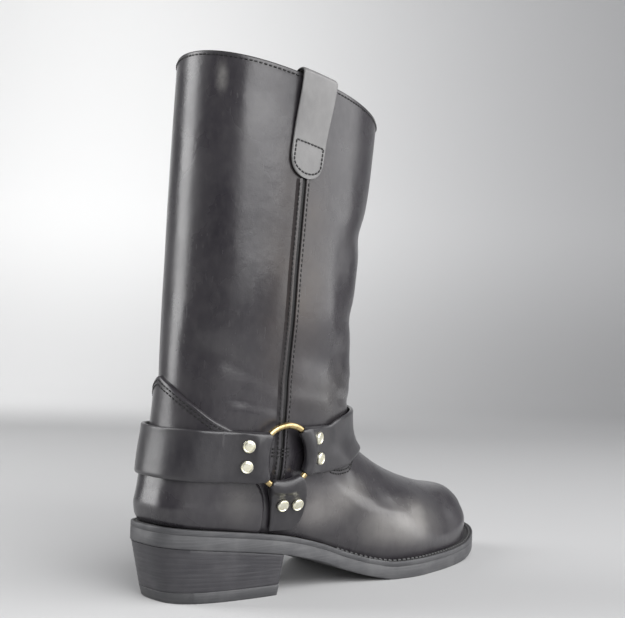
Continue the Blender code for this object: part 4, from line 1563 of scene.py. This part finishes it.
@dataclass
class RingFrame:
    """Place of one harness ring on the boot."""

    last: Last
    side: Side
    x: float = 72.0
    z: float = 90.0
    offset: float = 5.6
    radius: float = 19.5
    wire: float = 2.0
    turn_steps: int = 96
    wire_steps: int = 20

    def __post_init__(self) -> None:
        """Works out the ring's middle and directions."""
        s, angle = self.last.place(self.x, self.z, self.side.value)
        self.out = self.last.normal(s, angle)
        self.up = unit(UP - self.out[2] * self.out)
        self.toe = np.cross(self.up, self.out) * self.side.value
        self.middle = self.last.skin(s, angle, self.offset)

    def point(self, turn: Array, radius: Array, lift: Array) -> Array:
        """Point in the ring's plane at a turn from the toe direction, with a lift out of the plane."""
        flat = self.toe * np.cos(turn)[..., None] + self.up * np.sin(turn)[..., None]
        return self.middle + flat * radius[..., None] + self.out * lift[..., None]

    def wire_points(self, turn: Array, wire: Array, around: Array) -> Array:
        """Points round the wire."""
        return self.point(turn, self.radius + wire * np.cos(around), wire * np.sin(around))

    def build(self, material: Material) -> Piece:
        """Builds the ring.

        Args:
            material: Its finish.

        Returns:
            The piece.
        """
        turn = np.linspace(0.0, FULL_TURN, self.turn_steps, endpoint=False)[:, None]
        around = np.linspace(0.0, FULL_TURN, self.wire_steps, endpoint=False)[None, :]
        turn, around = np.broadcast_arrays(turn, around)
        maker = MeshMaker()
        rows = maker.add(self.wire_points(turn, np.full(turn.shape, self.wire), around))
        maker.quads(np.concatenate([rows, rows[:1]]), wrap=True)
        piece = maker.piece(f"harness_ring_{self.side.label}", [material])
        node = f"ring_{self.side.label}"
        return settle(piece, Slot.BRASS, node, body=node)


@dataclass
class Fold:
    """End of a strap folded round a ring's wire."""

    ring: RingFrame
    turn: float
    half_span: float
    slack: float = 3.4
    radius: float = 3.6
    tunnel: float = 2.35
    edge_thin: float = 0.35
    bulge_power: float = 0.8
    wrap_steps: int = 10

    def turns(self, share: Array) -> Array:
        """Turn of each column of the strap along the wire."""
        return self.turn + np.arcsin(share * self.half_span / self.ring.radius)

    def wrap(self, share: Array, full: Array) -> Array:
        """Outer face of the fold, from the strap's outer face round to its inner one.

        Args:
            share: Shares of the half width, by column.
            full: Share of the full thickness, by column.

        Returns:
            The points by row and column.
        """
        around = np.linspace(0.5 * math.pi, 1.5 * math.pi, self.wrap_steps + 1)[:, None]
        size = self.tunnel + (self.radius - self.tunnel) * np.maximum(full, self.edge_thin)[None, :]
        turn = np.broadcast_to(self.turns(share)[None, :], (len(around), len(share)))
        bulge = self.slack * (1.0 - share**2)[None, :] * np.abs(np.cos(around)) ** self.bulge_power
        radius = self.ring.radius + size * np.cos(around) - bulge
        return self.ring.point(turn, radius, size * np.sin(around))

    def hole(self, share: Array) -> Array:
        """Wall of the tunnel, all round from the strap's outer face.

        Args:
            share: Shares of the half width, by column.

        Returns:
            The points by row and column.
        """
        around = 0.5 * math.pi + np.linspace(0.0, FULL_TURN, 2 * self.wrap_steps, endpoint=False)[:, None]
        turn = np.broadcast_to(self.turns(share)[None, :], (len(around), len(share)))
        size = np.full(turn.shape, self.tunnel)
        return self.ring.wire_points(turn, size, np.broadcast_to(around, turn.shape))


@dataclass
class StrapBuilder:
    """Joins rows of a strap with its folded ends into one closed mesh."""

    edge: float = 0.1
    edge_thin: float = 0.25
    steps: int = 4
    maker: MeshMaker = field(default_factory=MeshMaker)

    def __post_init__(self) -> None:
        """Works out the fullness of each column."""
        inward = np.clip((1.0 - np.abs(STRAP_SHARES)) / self.edge, 0.0, 1.0)
        self.full = np.maximum(np.sqrt(1.0 - (1.0 - inward) ** 2), self.edge_thin)

    def rounded(self, outer: Array, inner: Array) -> tuple[Array, Array]:
        """Draws the two faces together along the edges.

        Args:
            outer: Rows of the outer face.
            inner: Rows of the inner face.

        Returns:
            The two rounded faces.
        """
        middle = 0.5 * (outer + inner)
        full = self.full[None, :, None]
        return middle + (outer - middle) * full, middle + (inner - middle) * full

    def join(self, outer: Array, inner: Array, start: Fold, end: Fold | None) -> MeshMaker:
        """Builds the strap.

        Args:
            outer: Control rows of the outer face, between the folds.
            inner: Control rows of the inner face.
            start: Fold before the first row.
            end: Fold after the last row, or None for a plain end.

        Returns:
            The mesh.
        """
        outer, inner = self.rounded(outer, inner)
        first = start.wrap(STRAP_SHARES, self.full)
        last = end.wrap(STRAP_SHARES, self.full) if end else None
        faces = []
        for rows, k, step in ((outer, 0, 1), (inner, -1, -1)):
            parts = [first[k][None], rows] + ([last[k][None]] if end else [])
            control = np.concatenate(parts)
            after = last[k + step] if end else 2.0 * control[-1] - control[-2]
            faces.append(spline(control, self.steps, first[k + step], after))
        maker = self.maker
        out, ins = maker.add(faces[0]), maker.add(faces[1])
        maker.quads(out)
        maker.quads(ins)
        low = self.close(start, first, out, ins)
        high = len(out) - 1
        if end:
            high -= self.close(end, last, out[::-1], ins[::-1])
        else:
            maker.quads(np.stack([out[-1], ins[-1]]))
        for j in (0, -1):
            maker.quads(np.stack([out[low : high + 1, j], ins[low : high + 1, j]]))
        return maker

    def close(self, fold: Fold, wrap: Array, out: Array, ins: Array) -> int:
        """Adds a fold with its tunnel and closes its sides.

        Args:
            fold: The fold.
            wrap: Its outer face.
            out: Point numbers of the strap's outer face, from the fold on.
            ins: Point numbers of its inner face.

        Returns:
            Row at which the sides of the strap go on.
        """
        maker = self.maker
        inside = maker.add(wrap[1:-1])
        rows = np.concatenate([out[:1], inside, ins[:1]])
        maker.quads(rows)
        hole = maker.add(fold.hole(STRAP_SHARES))
        maker.quads(np.concatenate([hole, hole[:1]]))
        clear = self.steps
        half = fold.wrap_steps
        for j in (0, -1):
            maker.quads(np.stack([rows[:, j], hole[: half + 1, j]]))
            arc = [*hole[half:, j], hole[0, j]]
            neck = [*out[: clear + 1, j], *ins[: clear + 1, j][::-1]]
            maker.polygon(neck + arc)
        return clear


@dataclass
class Harness:
    """Heel strap, front strap, stirrups, rings and rivets."""

    last: Last
    materials: dict[str, Material]
    width: float = 30.5
    thickness: float = 2.6
    heel_sink: float = 2.65
    front_seat: float = 1.39
    span: float = 14.2
    stirrup_span: float = 12.0
    heel_rows: int = 21
    front_rows: int = 21
    heel_ends: dict[float, tuple[float, float]] = table(
        {24.5: (3.85, 7.8), 28.5: (2.85, 6.2), 37.0: (2.65, 5.0)}
    )
    front_ends: dict[float, tuple[float, float]] = table(
        {25.0: (1.6, 6.2), 29.5: (1.39, 4.8), 38.0: (1.39, 3.6)}
    )
    front_z: Table = table({0.0: 92.5, 0.2: 97.0, 0.5: 100.0, 1.0: 102.0})
    stirrup_rows: dict[float, tuple[float, float, float, float]] = table({
        65.5: (79.5, 13.0, 1.4, 6.2), 60.0: (81.5, 12.9, 0.8, 4.6), 54.0: (82.1, 12.5, 0.55, 3.4),
        47.5: (81.5, 11.1, 0.55, 3.1), 42.8: (80.1, 8.9, 0.55, 2.9),
    })
    stand_off: float = 2.7
    slack: dict[str, float] = table({"heel": 3.6, "front": 1.2, "stirrup": 1.6})
    turns: dict[str, float] = table({"heel": 180.0, "front": 11.0, "stirrup": 277.0})
    rivet_radius: float = 4.0
    rivet_core: float = 0.02
    rivet_steps: int = 28
    rivet_profile: Pairs = (
        (0.0, 0.88), (0.30, 0.88), (0.55, 0.86), (0.68, 0.80), (0.73, 0.72), (0.77, 0.82),
        (0.83, 0.98), (0.90, 0.96), (0.97, 0.72), (1.0, 0.4), (1.0, -0.12), (0.6, -0.12),
    )

    def __post_init__(self) -> None:
        """Places the two rings."""
        self.rings = {side: RingFrame(self.last, side) for side in Side}

    def build_side(self, side: Side) -> list[Piece]:
        """Builds stirrup, ring and rivets of one side."""
        return [self.stirrup(side), self.rings[side].build(self.materials["brass"]), self.rivets(side)]

    def build(self) -> list[Piece]:
        """Builds the two straps that go round the boot."""
        return [self.heel_strap(), self.front_strap()]

    def band(
        self, ends: dict[float, tuple[float, float]], way: float, z: float, side: Side
    ) -> list[Array]:
        """Control rows near one ring.

        Args:
            ends: Distance from the ring's middle to inner and outer height.
            way: 1 towards the toe, -1 towards the heel.
            z: Height of the strap's middle.
            side: Side of the boot.

        Returns:
            Outer and inner rows.
        """
        outer, inner = [], []
        for reach, (low, high) in ends.items():
            x = np.full(STRAP_SHARES.shape, self.rings[side].x + way * reach)
            s, angle = self.last.place(x, z + 0.5 * self.width * STRAP_SHARES, side.value)
            outer.append(self.last.skin(s, angle, high))
            inner.append(self.last.skin(s, angle, low))
        return [np.array(outer), np.array(inner)]

    def heel_strap(self) -> Piece:
        """Builds the strap round the heel.

        Returns:
            The piece.
        """
        ring = self.rings[Side.RIGHT]
        ends = {side: self.band(self.heel_ends, -1.0, ring.z, side) for side in Side}
        edge = self.last.place(ring.x - max(self.heel_ends), ring.z, ring.side.value)[1]
        turns = np.linspace(edge, -edge, self.heel_rows + 2)[1:-1][:, None]
        shares = STRAP_SHARES[None, :]
        s = self.last.section_at(turns, ring.z + 0.5 * self.width * shares)
        turns = np.broadcast_to(turns, s.shape)
        lean = self.stand_off * ease(2.0 - 2.0 * np.abs(turns) / edge) * (0.5 + 0.5 * shares)
        inner = self.heel_sink + lean
        far = [self.last.skin(s, turns, height) for height in (inner + self.thickness, inner)]
        return self.strap("heel", "harness_strap_heel", ends, far, -self.span, "strap_heel")

    def front_strap(self) -> Piece:
        """Builds the strap over the instep.

        Returns:
            The piece.
        """
        ring = self.rings[Side.RIGHT]
        ends = {side: self.band(self.front_ends, 1.0, self.front_z[0.0], side) for side in Side}
        edge = self.last.place(ring.x + max(self.front_ends), self.front_z[0.0], ring.side.value)[1]
        turns = np.linspace(edge, FULL_TURN - edge, self.front_rows + 2)[1:-1]
        rise = smooth(self.front_z, 1.0 - np.abs(turns - math.pi) / (math.pi - edge))
        z = rise[:, None] + 0.5 * self.width * STRAP_SHARES[None, :]
        s = self.last.section_at(turns[:, None], z)
        turns = np.broadcast_to(turns[:, None], s.shape)
        heights = (self.front_seat + self.thickness, self.front_seat)
        far = [self.last.skin(s, turns, height) for height in heights]
        return self.strap("front", "harness_strap_front", ends, far, self.span, "strap_front")

    def strap(
        self, which: str, name: str, ends: dict[Side, list[Array]], far: list[Array], span: float, node: str
    ) -> Piece:
        """Joins the two ends and the far stretch of a strap.

        Args:
            which: Name of its turn on the ring.
            name: Name of the piece.
            ends: Outer and inner rows at each ring.
            far: Outer and inner rows between.
            span: Half the width that it takes on the ring, signed by the way its columns run.
            node: Node that it replaces.

        Returns:
            The piece.
        """
        turn = math.radians(self.turns[which])
        folds = [Fold(self.rings[side], turn, span, self.slack[which]) for side in Side]
        faces = [
            np.concatenate([ends[Side.RIGHT][k], far[k], ends[Side.LEFT][k][::-1]]) for k in (0, 1)
        ]
        maker = StrapBuilder().join(faces[0], faces[1], folds[0], folds[1])
        return settle(maker.piece(name, [self.materials["strap"]]), Slot.STRAP, node)

    def stirrup(self, side: Side) -> Piece:
        """Builds the strap from a ring down to the welt.

        Args:
            side: Side of the boot.

        Returns:
            The piece.
        """
        outer, inner = [], []
        for z, (middle, half, low, high) in self.stirrup_rows.items():
            x = middle + half * STRAP_SHARES
            s, angle = self.last.place(x, np.full(x.shape, z), side.value)
            outer.append(self.last.skin(s, angle, high))
            inner.append(self.last.skin(s, angle, low))
        turn = math.radians(self.turns["stirrup"])
        fold = Fold(self.rings[side], turn, self.stirrup_span, self.slack["stirrup"])
        maker = StrapBuilder().join(np.array(outer), np.array(inner), fold, None)
        piece = maker.piece(f"stirrup_leather_{side.label}", [self.materials["strap"]])
        return settle(piece, Slot.STRAP, f"stirrup_{side.label}")

    def rivets(self, side: Side) -> Piece:
        """Builds the six rivets of one side, each on its own seat.

        Args:
            side: Side of the boot.

        Returns:
            The joined piece.
        """
        maker = MeshMaker()
        straps = ("heel", "front", "stirrup")
        nodes = [f"rivet_{strap}_{side.label}_{number}" for strap in straps for number in (1, 2)]
        for node in nodes:
            maker.tube(self.rivet(node, side))
        piece = maker.piece(f"harness_rivets_{side.label}", [self.materials["rivet"]])
        return settle(piece, Slot.BRASS, *nodes)

    def rivet(self, node: str, side: Side) -> Array:
        """Rings of points of one rivet, on the seat of its solid.

        Args:
            node: Node of the rivet's solid.
            side: Side of the boot.

        Returns:
            The points by ring, from the middle of its face.
        """
        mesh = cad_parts[node].data
        co = (np.array([v.co for v in mesh.vertices]) - np.array(ORIGIN)) / MM
        middle = 0.5 * (co.min(axis=0) + co.max(axis=0))
        out = np.linalg.eigh(np.cov((co - co.mean(axis=0)).T))[1][:, 0]
        out = out * (1.0 if out[1] * side.value < 0.0 else -1.0)
        rises = (co - middle) @ out
        seat, height = middle + out * rises.min(), rises.max() - rises.min()
        ahead = unit(np.cross(out, UP))
        turn = np.linspace(0.0, FULL_TURN, self.rivet_steps, endpoint=False)[:, None]
        flat = ahead * np.cos(turn) + np.cross(ahead, out) * np.sin(turn)
        rows = []
        for share, rise in self.rivet_profile:
            rows.append(seat + flat * max(share, self.rivet_core) * self.rivet_radius + out * rise * height)
        return np.array(rows)


@dataclass
class Sole:
    """Outsole, welt with its stitches, insole, heel block and top lift."""

    last: Last
    materials: dict[str, Material]
    welt_thickness: float = 3.5
    welt_inset: float = 0.02
    welt_side: int = 5
    welt_inner: float = 10.5
    insole_inset: float = 11.0
    insole_rise: float = 1.5
    steps: int = 110
    breast: float = 84.0
    heel_inset: float = 0.8
    back_trim: float = 1.2
    trim_reach: float = 60.0
    back_rake: float = 9.0
    breast_rake: float = 3.0
    side_taper: float = 0.05
    lift: float = 7.0
    heel_steps: int = 60
    heel_layers: int = 9
    layer_groove: float = 0.05
    layer_half: float = 0.3
    stitch_length: float = 3.4
    stitch_pitch: float = 4.0
    stitch_radius: float = 0.85
    stitch_inset: float = 2.9
    stitch_rise: float = 0.2
    stitch_start: float = 0.42
    joint: float = 0.05
    edge: float = 0.06
    outsole_foot: Pairs = ((1.0, 0.0), (0.3, 0.15), (0.05, 0.5), (0.0, 1.0))
    insole_foot: float = 0.8
    insole_top: Pairs = ((0.0, -1.4), (0.4, -0.4), (1.4, 0.0))
    welt_top: Pairs = (
        (0.0, -0.6), (0.2, -0.2), (0.7, 0.0), (2.1, 0.0), (2.4, -0.4), (3.1, -0.4), (3.4, 0.0),
    )
    heel_foot: Pairs = ((0.35, 0.0), (0.1, 0.1), (0.0, 0.35))
    lift_foot: Pairs = ((0.6, 0.0), (0.1, 0.4))
    lift_top: Pairs = ((0.0, -0.35), (0.35, 0.0))

    def loop(self, inset: float, height: HeightLine) -> Array:
        """Closed line of the sole's outline at an inset and a height given as a function of x.

        Args:
            inset: Distance inside the outline.
            height: Height at x.

        Returns:
            The points.
        """
        x, y = self.last.outline(self.last.turns(self.steps), inset)
        x = x + self.back_trim * ease(1.0 - x / self.trim_reach)
        return np.stack([x, y, height(x)], axis=-1)

    def ladder(self, maker: MeshMaker, loop: Array) -> None:
        """Closes a loop with faces from side to side.

        Args:
            maker: Mesh that it belongs to.
            loop: Point numbers of the loop.
        """
        count = self.steps
        right = loop[: count + 1]
        left = np.concatenate([loop[:1], loop[: count - 1 : -1]])
        maker.quads(np.stack([right[1:-1], left[1:-1]]))
        maker.polygon([right[0], right[1], left[1]])
        maker.polygon([right[-1], right[-2], left[-2]])

    def slab(self, name: str, rows: list[tuple[float, HeightLine]], material: Material) -> Piece:
        """Builds a slab through loops of the outline.

        Args:
            name: Name of the piece.
            rows: Inset and height of each loop, from the lowest.
            material: Its finish.

        Returns:
            The object.
        """
        maker = MeshMaker()
        numbers = maker.add(np.array([self.loop(inset, height) for inset, height in rows]))
        maker.quads(numbers, wrap=True)
        self.ladder(maker, numbers[0])
        self.ladder(maker, numbers[-1])
        return maker.piece(name, [material])

    def over(self, up: float) -> HeightLine:
        """Line at a height over the top of the sole."""
        return lambda x: self.last.sole_top(x) + up

    def build(self) -> list[Piece]:
        """Builds every piece of the sole."""
        return [self.outsole(), self.insole(), self.welt(), self.stitches(), self.heel(), self.top_lift()]

    def outsole(self) -> Piece:
        """Builds the rubber sole.

        Returns:
            The piece.
        """
        floor = -self.last.sole_thickness
        top = -self.welt_thickness - self.joint
        sides = [(inset, floor + up) for inset, up in self.outsole_foot]
        sides += [(0.0, top - self.edge), (self.edge, top)]
        rows = [(inset, self.over(up)) for inset, up in sides]
        return settle(self.slab("sole_outsole", rows, self.materials["rubber"]), Slot.RUBBER, "outsole")

    def insole(self) -> Piece:
        """Builds the footbed inside the upper.

        Returns:
            The piece.
        """
        foot, low = self.insole_foot, -self.welt_thickness
        sides = [(foot, low), (0.0, low + foot)]
        sides += [(inset, self.insole_rise + up) for inset, up in self.insole_top]
        rows = [(self.insole_inset + inset, self.over(up)) for inset, up in sides]
        return settle(self.slab("sole_insole", rows, self.materials["insole"]), Slot.INSOLE, "insole")

    def welt(self) -> Piece:
        """Builds the welt, with a groove for the stitches.

        Returns:
            The piece.
        """
        inset, inner, low = self.welt_inset, self.welt_inner, -self.welt_thickness
        rows = [(inner, low), (inset + self.edge, low), (inset, low + self.edge)]
        rows += [(inset + off, up) for off, up in self.welt_top] + [(inner, 0.0)]
        maker = MeshMaker()
        numbers = maker.add(np.array([self.loop(off, self.over(up)) for off, up in rows]))
        maker.quads(numbers[: self.welt_side + 1], wrap=True, slot=1)
        maker.quads(np.concatenate([numbers[self.welt_side :], numbers[:1]]), wrap=True)
        piece = maker.piece("sole_welt", [self.materials["welt"], self.materials["rubber"]])
        return settle(piece, Slot.WELT, "welt")

    def stitches(self) -> Piece:
        """Sews the row along the welt, ahead of the heel.

        Returns:
            The stitches.
        """
        thread = Stitching("welt_stitches", self.stitch_length, self.stitch_pitch, self.stitch_radius)
        line = self.loop(self.stitch_inset, self.over(self.stitch_rise))
        line = line[line[:, 0] > self.stitch_start * self.last.sole_length]
        thread.row(line, np.broadcast_to(UP, line.shape))
        return thread.sew(self.materials["rope"], Slot.WELT)

    def heel_loop(self, share: float, inset: float, height: HeightLine) -> Array:
        """Closed line of the heel at a share of its depth, drawn in by an inset.

        Args:
            share: Share of the heel's depth.
            inset: Distance inside the heel's side.
            height: Height at x.

        Returns:
            The points.
        """
        reach = math.acos(1.0 - 2.0 * self.breast / self.last.sole_length)
        c = np.cos(np.linspace(0.0, reach, self.heel_steps + 1))
        angles = np.arccos(np.sign(c) * np.abs(c) ** (0.5 * self.last.outline_power))
        lines = []
        for side in Side:
            x, y = self.last.outline(side.value * angles, 0.0)
            start = self.heel_inset + self.back_trim
            reach = self.breast - start - share * (self.back_rake + self.breast_rake) - 2.0 * inset
            at = start + inset + share * self.back_rake + reach * x / x[-1]
            narrow = (self.heel_inset + inset) / self.last.outline_widths["heel"] + share * self.side_taper
            lines.append(np.stack([at, y * (1.0 - narrow), height(at)], axis=-1))
        return np.concatenate([lines[0], lines[1][:0:-1]])

    def block(self, name: str, rows: list[tuple[float, float, HeightLine]], material: Material) -> Piece:
        """Builds the heel block or its lift through loops, from the lowest.

        Args:
            name: Name of the piece.
            rows: Share of the heel's depth, inset and height of each loop.
            material: Its finish.

        Returns:
            The object.
        """
        maker = MeshMaker()
        numbers = maker.add(np.array([self.heel_loop(*row) for row in rows]))
        maker.quads(numbers, wrap=True)
        count = self.heel_steps
        for loop in (numbers[0], numbers[-1]):
            right = loop[: count + 1]
            left = np.concatenate([loop[:1], loop[: count : -1]])
            maker.quads(np.stack([right[1:], left[1:]]))
            maker.polygon([right[0], right[1], left[1]])
        return maker.piece(name, [material])

    @property
    def lift_share(self) -> float:
        """Share of the heel's depth at which the lift meets the block."""
        depth = self.last.sole_top(np.array(0.5 * self.breast)) - self.last.sole_thickness
        return 1.0 - self.lift / float(depth)

    def layer(self, f: float, off: float) -> HeightLine:
        """Line at a share of the way from the lift to the seat, moved up by an offset."""
        low = self.lift + self.joint
        return lambda x: low + (self.seat(x) - low) * f + off

    def heel(self) -> Piece:
        """Builds the heel block, with a fine groove between its layers.

        Returns:
            The piece.
        """
        share, half = self.lift_share, self.layer_half
        rows = [(share, inset, self.level(self.lift + self.joint + up)) for inset, up in self.heel_foot]
        for f in np.linspace(0.0, 1.0, self.heel_layers + 1)[1:-1]:
            for inset, off in ((0.0, -half), (self.layer_groove, 0.0), (0.0, half)):
                rows.append((share * (1.0 - f), inset, self.layer(f, off)))
        rows += [(0.0, 0.0, self.layer(1.0, -half)), (0.0, half, self.seat)]
        return settle(self.block("heel_block", rows, self.materials["heel"]), Slot.HEEL, "heel")

    def top_lift(self) -> Piece:
        """Builds the lift that stands on the floor.

        Returns:
            The piece.
        """
        rows = [(1.0, inset, self.level(up)) for inset, up in self.lift_foot]
        rows += [(self.lift_share, inset, self.level(self.lift + up)) for inset, up in self.lift_top]
        return settle(self.block("heel_top_lift", rows, self.materials["rubber"]), Slot.RUBBER, "top_lift")

    @staticmethod
    def level(z: float) -> HeightLine:
        """Level line at a height."""
        return lambda x: np.full(x.shape, z)

    def seat(self, x: Array) -> Array:
        """Height of the heel's seat under the sole."""
        return self.last.sole_top(x) - self.last.sole_thickness - self.joint


@dataclass(frozen=True)
class SoftBox:
    """Soft light hung at a turn round the boot from the camera, in degrees to the right, and in metres."""

    name: str
    turn: float
    distance: float
    height: float
    width: float
    tall: float
    glow: float
    aim: Triple = (0.0, 0.0, 0.17)

    def hang(self, right: Vector, near: Vector) -> None:
        """Hangs the light.

        Args:
            right: The camera's right, along the floor.
            near: Direction from the boot to the camera, along the floor.
        """
        data = bpy.data.lights.new(self.name, "AREA")
        data.shape = "RECTANGLE"
        data.size, data.size_y = self.width, self.tall
        data.energy = self.glow * math.pi * self.width * self.tall
        obj = bpy.data.objects.new(self.name, data)
        turn = math.radians(self.turn)
        flat = near * math.cos(turn) + right * math.sin(turn)
        obj.location = flat * self.distance + Vector((0.0, 0.0, self.height))
        aim = near * self.aim[0] + right * self.aim[1] + Vector((0.0, 0.0, self.aim[2]))
        obj.rotation_euler = (aim - obj.location).to_track_quat("-Z", "Y").to_euler()
        bpy.context.scene.collection.objects.link(obj)


@dataclass
class Studio:
    """Camera, soft lights and pale floor."""

    eye: Triple = (-412.5, -561.2, 174.5)
    target: Triple = (134.7, -4.4, 182.1)
    roll: float = math.radians(2.22)
    focal: float = 1137.1
    far_clip: float = 50.0
    floor_near: float = -4.0
    floor_far: float = 1.5
    floor_half: float = 6.0
    sweep: float = 1.2
    sweep_start: float = 0.1
    sweep_steps: int = 14
    wall_top: float = 5.0
    paper: Backdrop = Backdrop()
    air: Colour = (0.92, 0.94, 1.0)
    air_strength: float = 0.15
    boxes: tuple[SoftBox, ...] = (
        SoftBox("key_front", 25.0, 1.4, 1.08, 1.2, 1.5, 4.6),
        SoftBox("side_high", 82.0, 1.3, 1.15, 1.8, 0.9, 3.2),
        SoftBox("side_low", 82.0, 1.5, 0.42, 2.0, 0.7, 2.3),
        SoftBox("left_strip", -89.0, 1.3, 0.75, 0.60, 1.5, 5.6),
        SoftBox("back_wash", -150.0, 1.5, 1.0, 1.3, 1.2, 2.8, (-2.7, -1.0, 0.35)),
    )

    def axes(self) -> tuple[Vector, Vector, Vector]:
        """Right, up and forward directions of the camera, before its roll.

        Returns:
            The three directions.
        """
        ahead = (Vector(self.target) - Vector(self.eye)).normalized()
        right = ahead.cross(Vector((0.0, 0.0, 1.0))).normalized()
        return right, right.cross(ahead), ahead

    def camera(self) -> None:
        """Sets the camera at the photograph's angle."""
        right, up, ahead = self.axes()
        c, k = math.cos(self.roll), math.sin(self.roll)
        columns = (right * c + up * k, up * c - right * k, -ahead)
        data = bpy.data.cameras.new("camera")
        data.sensor_width = SENSOR
        data.sensor_fit = "HORIZONTAL"
        data.lens = self.focal / IMAGE_WIDTH * SENSOR
        data.clip_end = self.far_clip
        obj = bpy.data.objects.new("camera", data)
        bpy.context.scene.collection.objects.link(obj)
        turn = Matrix(columns).transposed().to_4x4()
        obj.matrix_world = Matrix.Translation(Vector(self.eye) * MM + ORIGIN) @ turn
        bpy.context.scene.camera = obj

    def floor(self) -> None:
        """Lays the floor and its sweep up behind the boot."""
        right, _, ahead = self.axes()
        flat = Vector((ahead.x, ahead.y, 0.0)).normalized()
        profile = [(self.floor_near, 0.0), (self.floor_far, 0.0)]
        for turn in np.linspace(self.sweep_start, 0.5 * math.pi, self.sweep_steps):
            rise = self.sweep * (1.0 - math.cos(turn))
            profile.append((self.floor_far + self.sweep * math.sin(turn), rise))
        profile.append((self.floor_far + self.sweep, self.wall_top))
        bm = bmesh.new()
        rows = []
        for away, rise in profile:
            middle = flat * away + Vector((0.0, 0.0, rise))
            rows.append([bm.verts.new(middle + right * side * self.floor_half) for side in (-1.0, 1.0)])
        for low, high in zip(rows[:-1], rows[1:]):
            bm.faces.new((low[0], low[1], high[1], high[0]))
        mesh = bpy.data.meshes.new("studio_floor")
        bm.to_mesh(mesh)
        bm.free()
        mesh.shade_smooth()
        mesh.materials.append(self.paper.material(right))
        obj = bpy.data.objects.new("studio_floor", mesh)
        bpy.context.scene.collection.objects.link(obj)

    def lights(self) -> None:
        """Hangs the soft lights."""
        right, _, ahead = self.axes()
        flat = Vector((ahead.x, ahead.y, 0.0)).normalized()
        world = bpy.data.worlds.new("studio_air")
        world.use_nodes = True
        air = world.node_tree.nodes["Background"]
        air.inputs["Color"].default_value = (*self.air, 1.0)
        air.inputs["Strength"].default_value = self.air_strength
        bpy.context.scene.world = world
        bpy.context.scene.view_settings.view_transform = "Standard"
        for box in self.boxes:
            box.hang(right, -flat)

    def build(self) -> None:
        """Sets camera, floor and lights."""
        self.camera()
        self.floor()
        self.lights()


def main() -> None:
    """Builds the boot piece by piece, then the studio."""
    logging.basicConfig(level=logging.INFO)
    materials = Finishes().made()
    last = Last()
    upper = Upper(last, materials)
    harness = Harness(last, materials)
    pieces = upper.build() + Counter(last, materials).build() + harness.build()
    for side in Side:
        pieces += SideSeam(upper, side).build() + PullStrap(upper, side).build() + harness.build_side(side)
    pieces += Sole(last, materials).build()
    for piece in pieces:
        log.info("%s: %d faces", piece.name, len(piece.data.polygons))
    Studio().build()


if __name__ == "__main__":
    main()
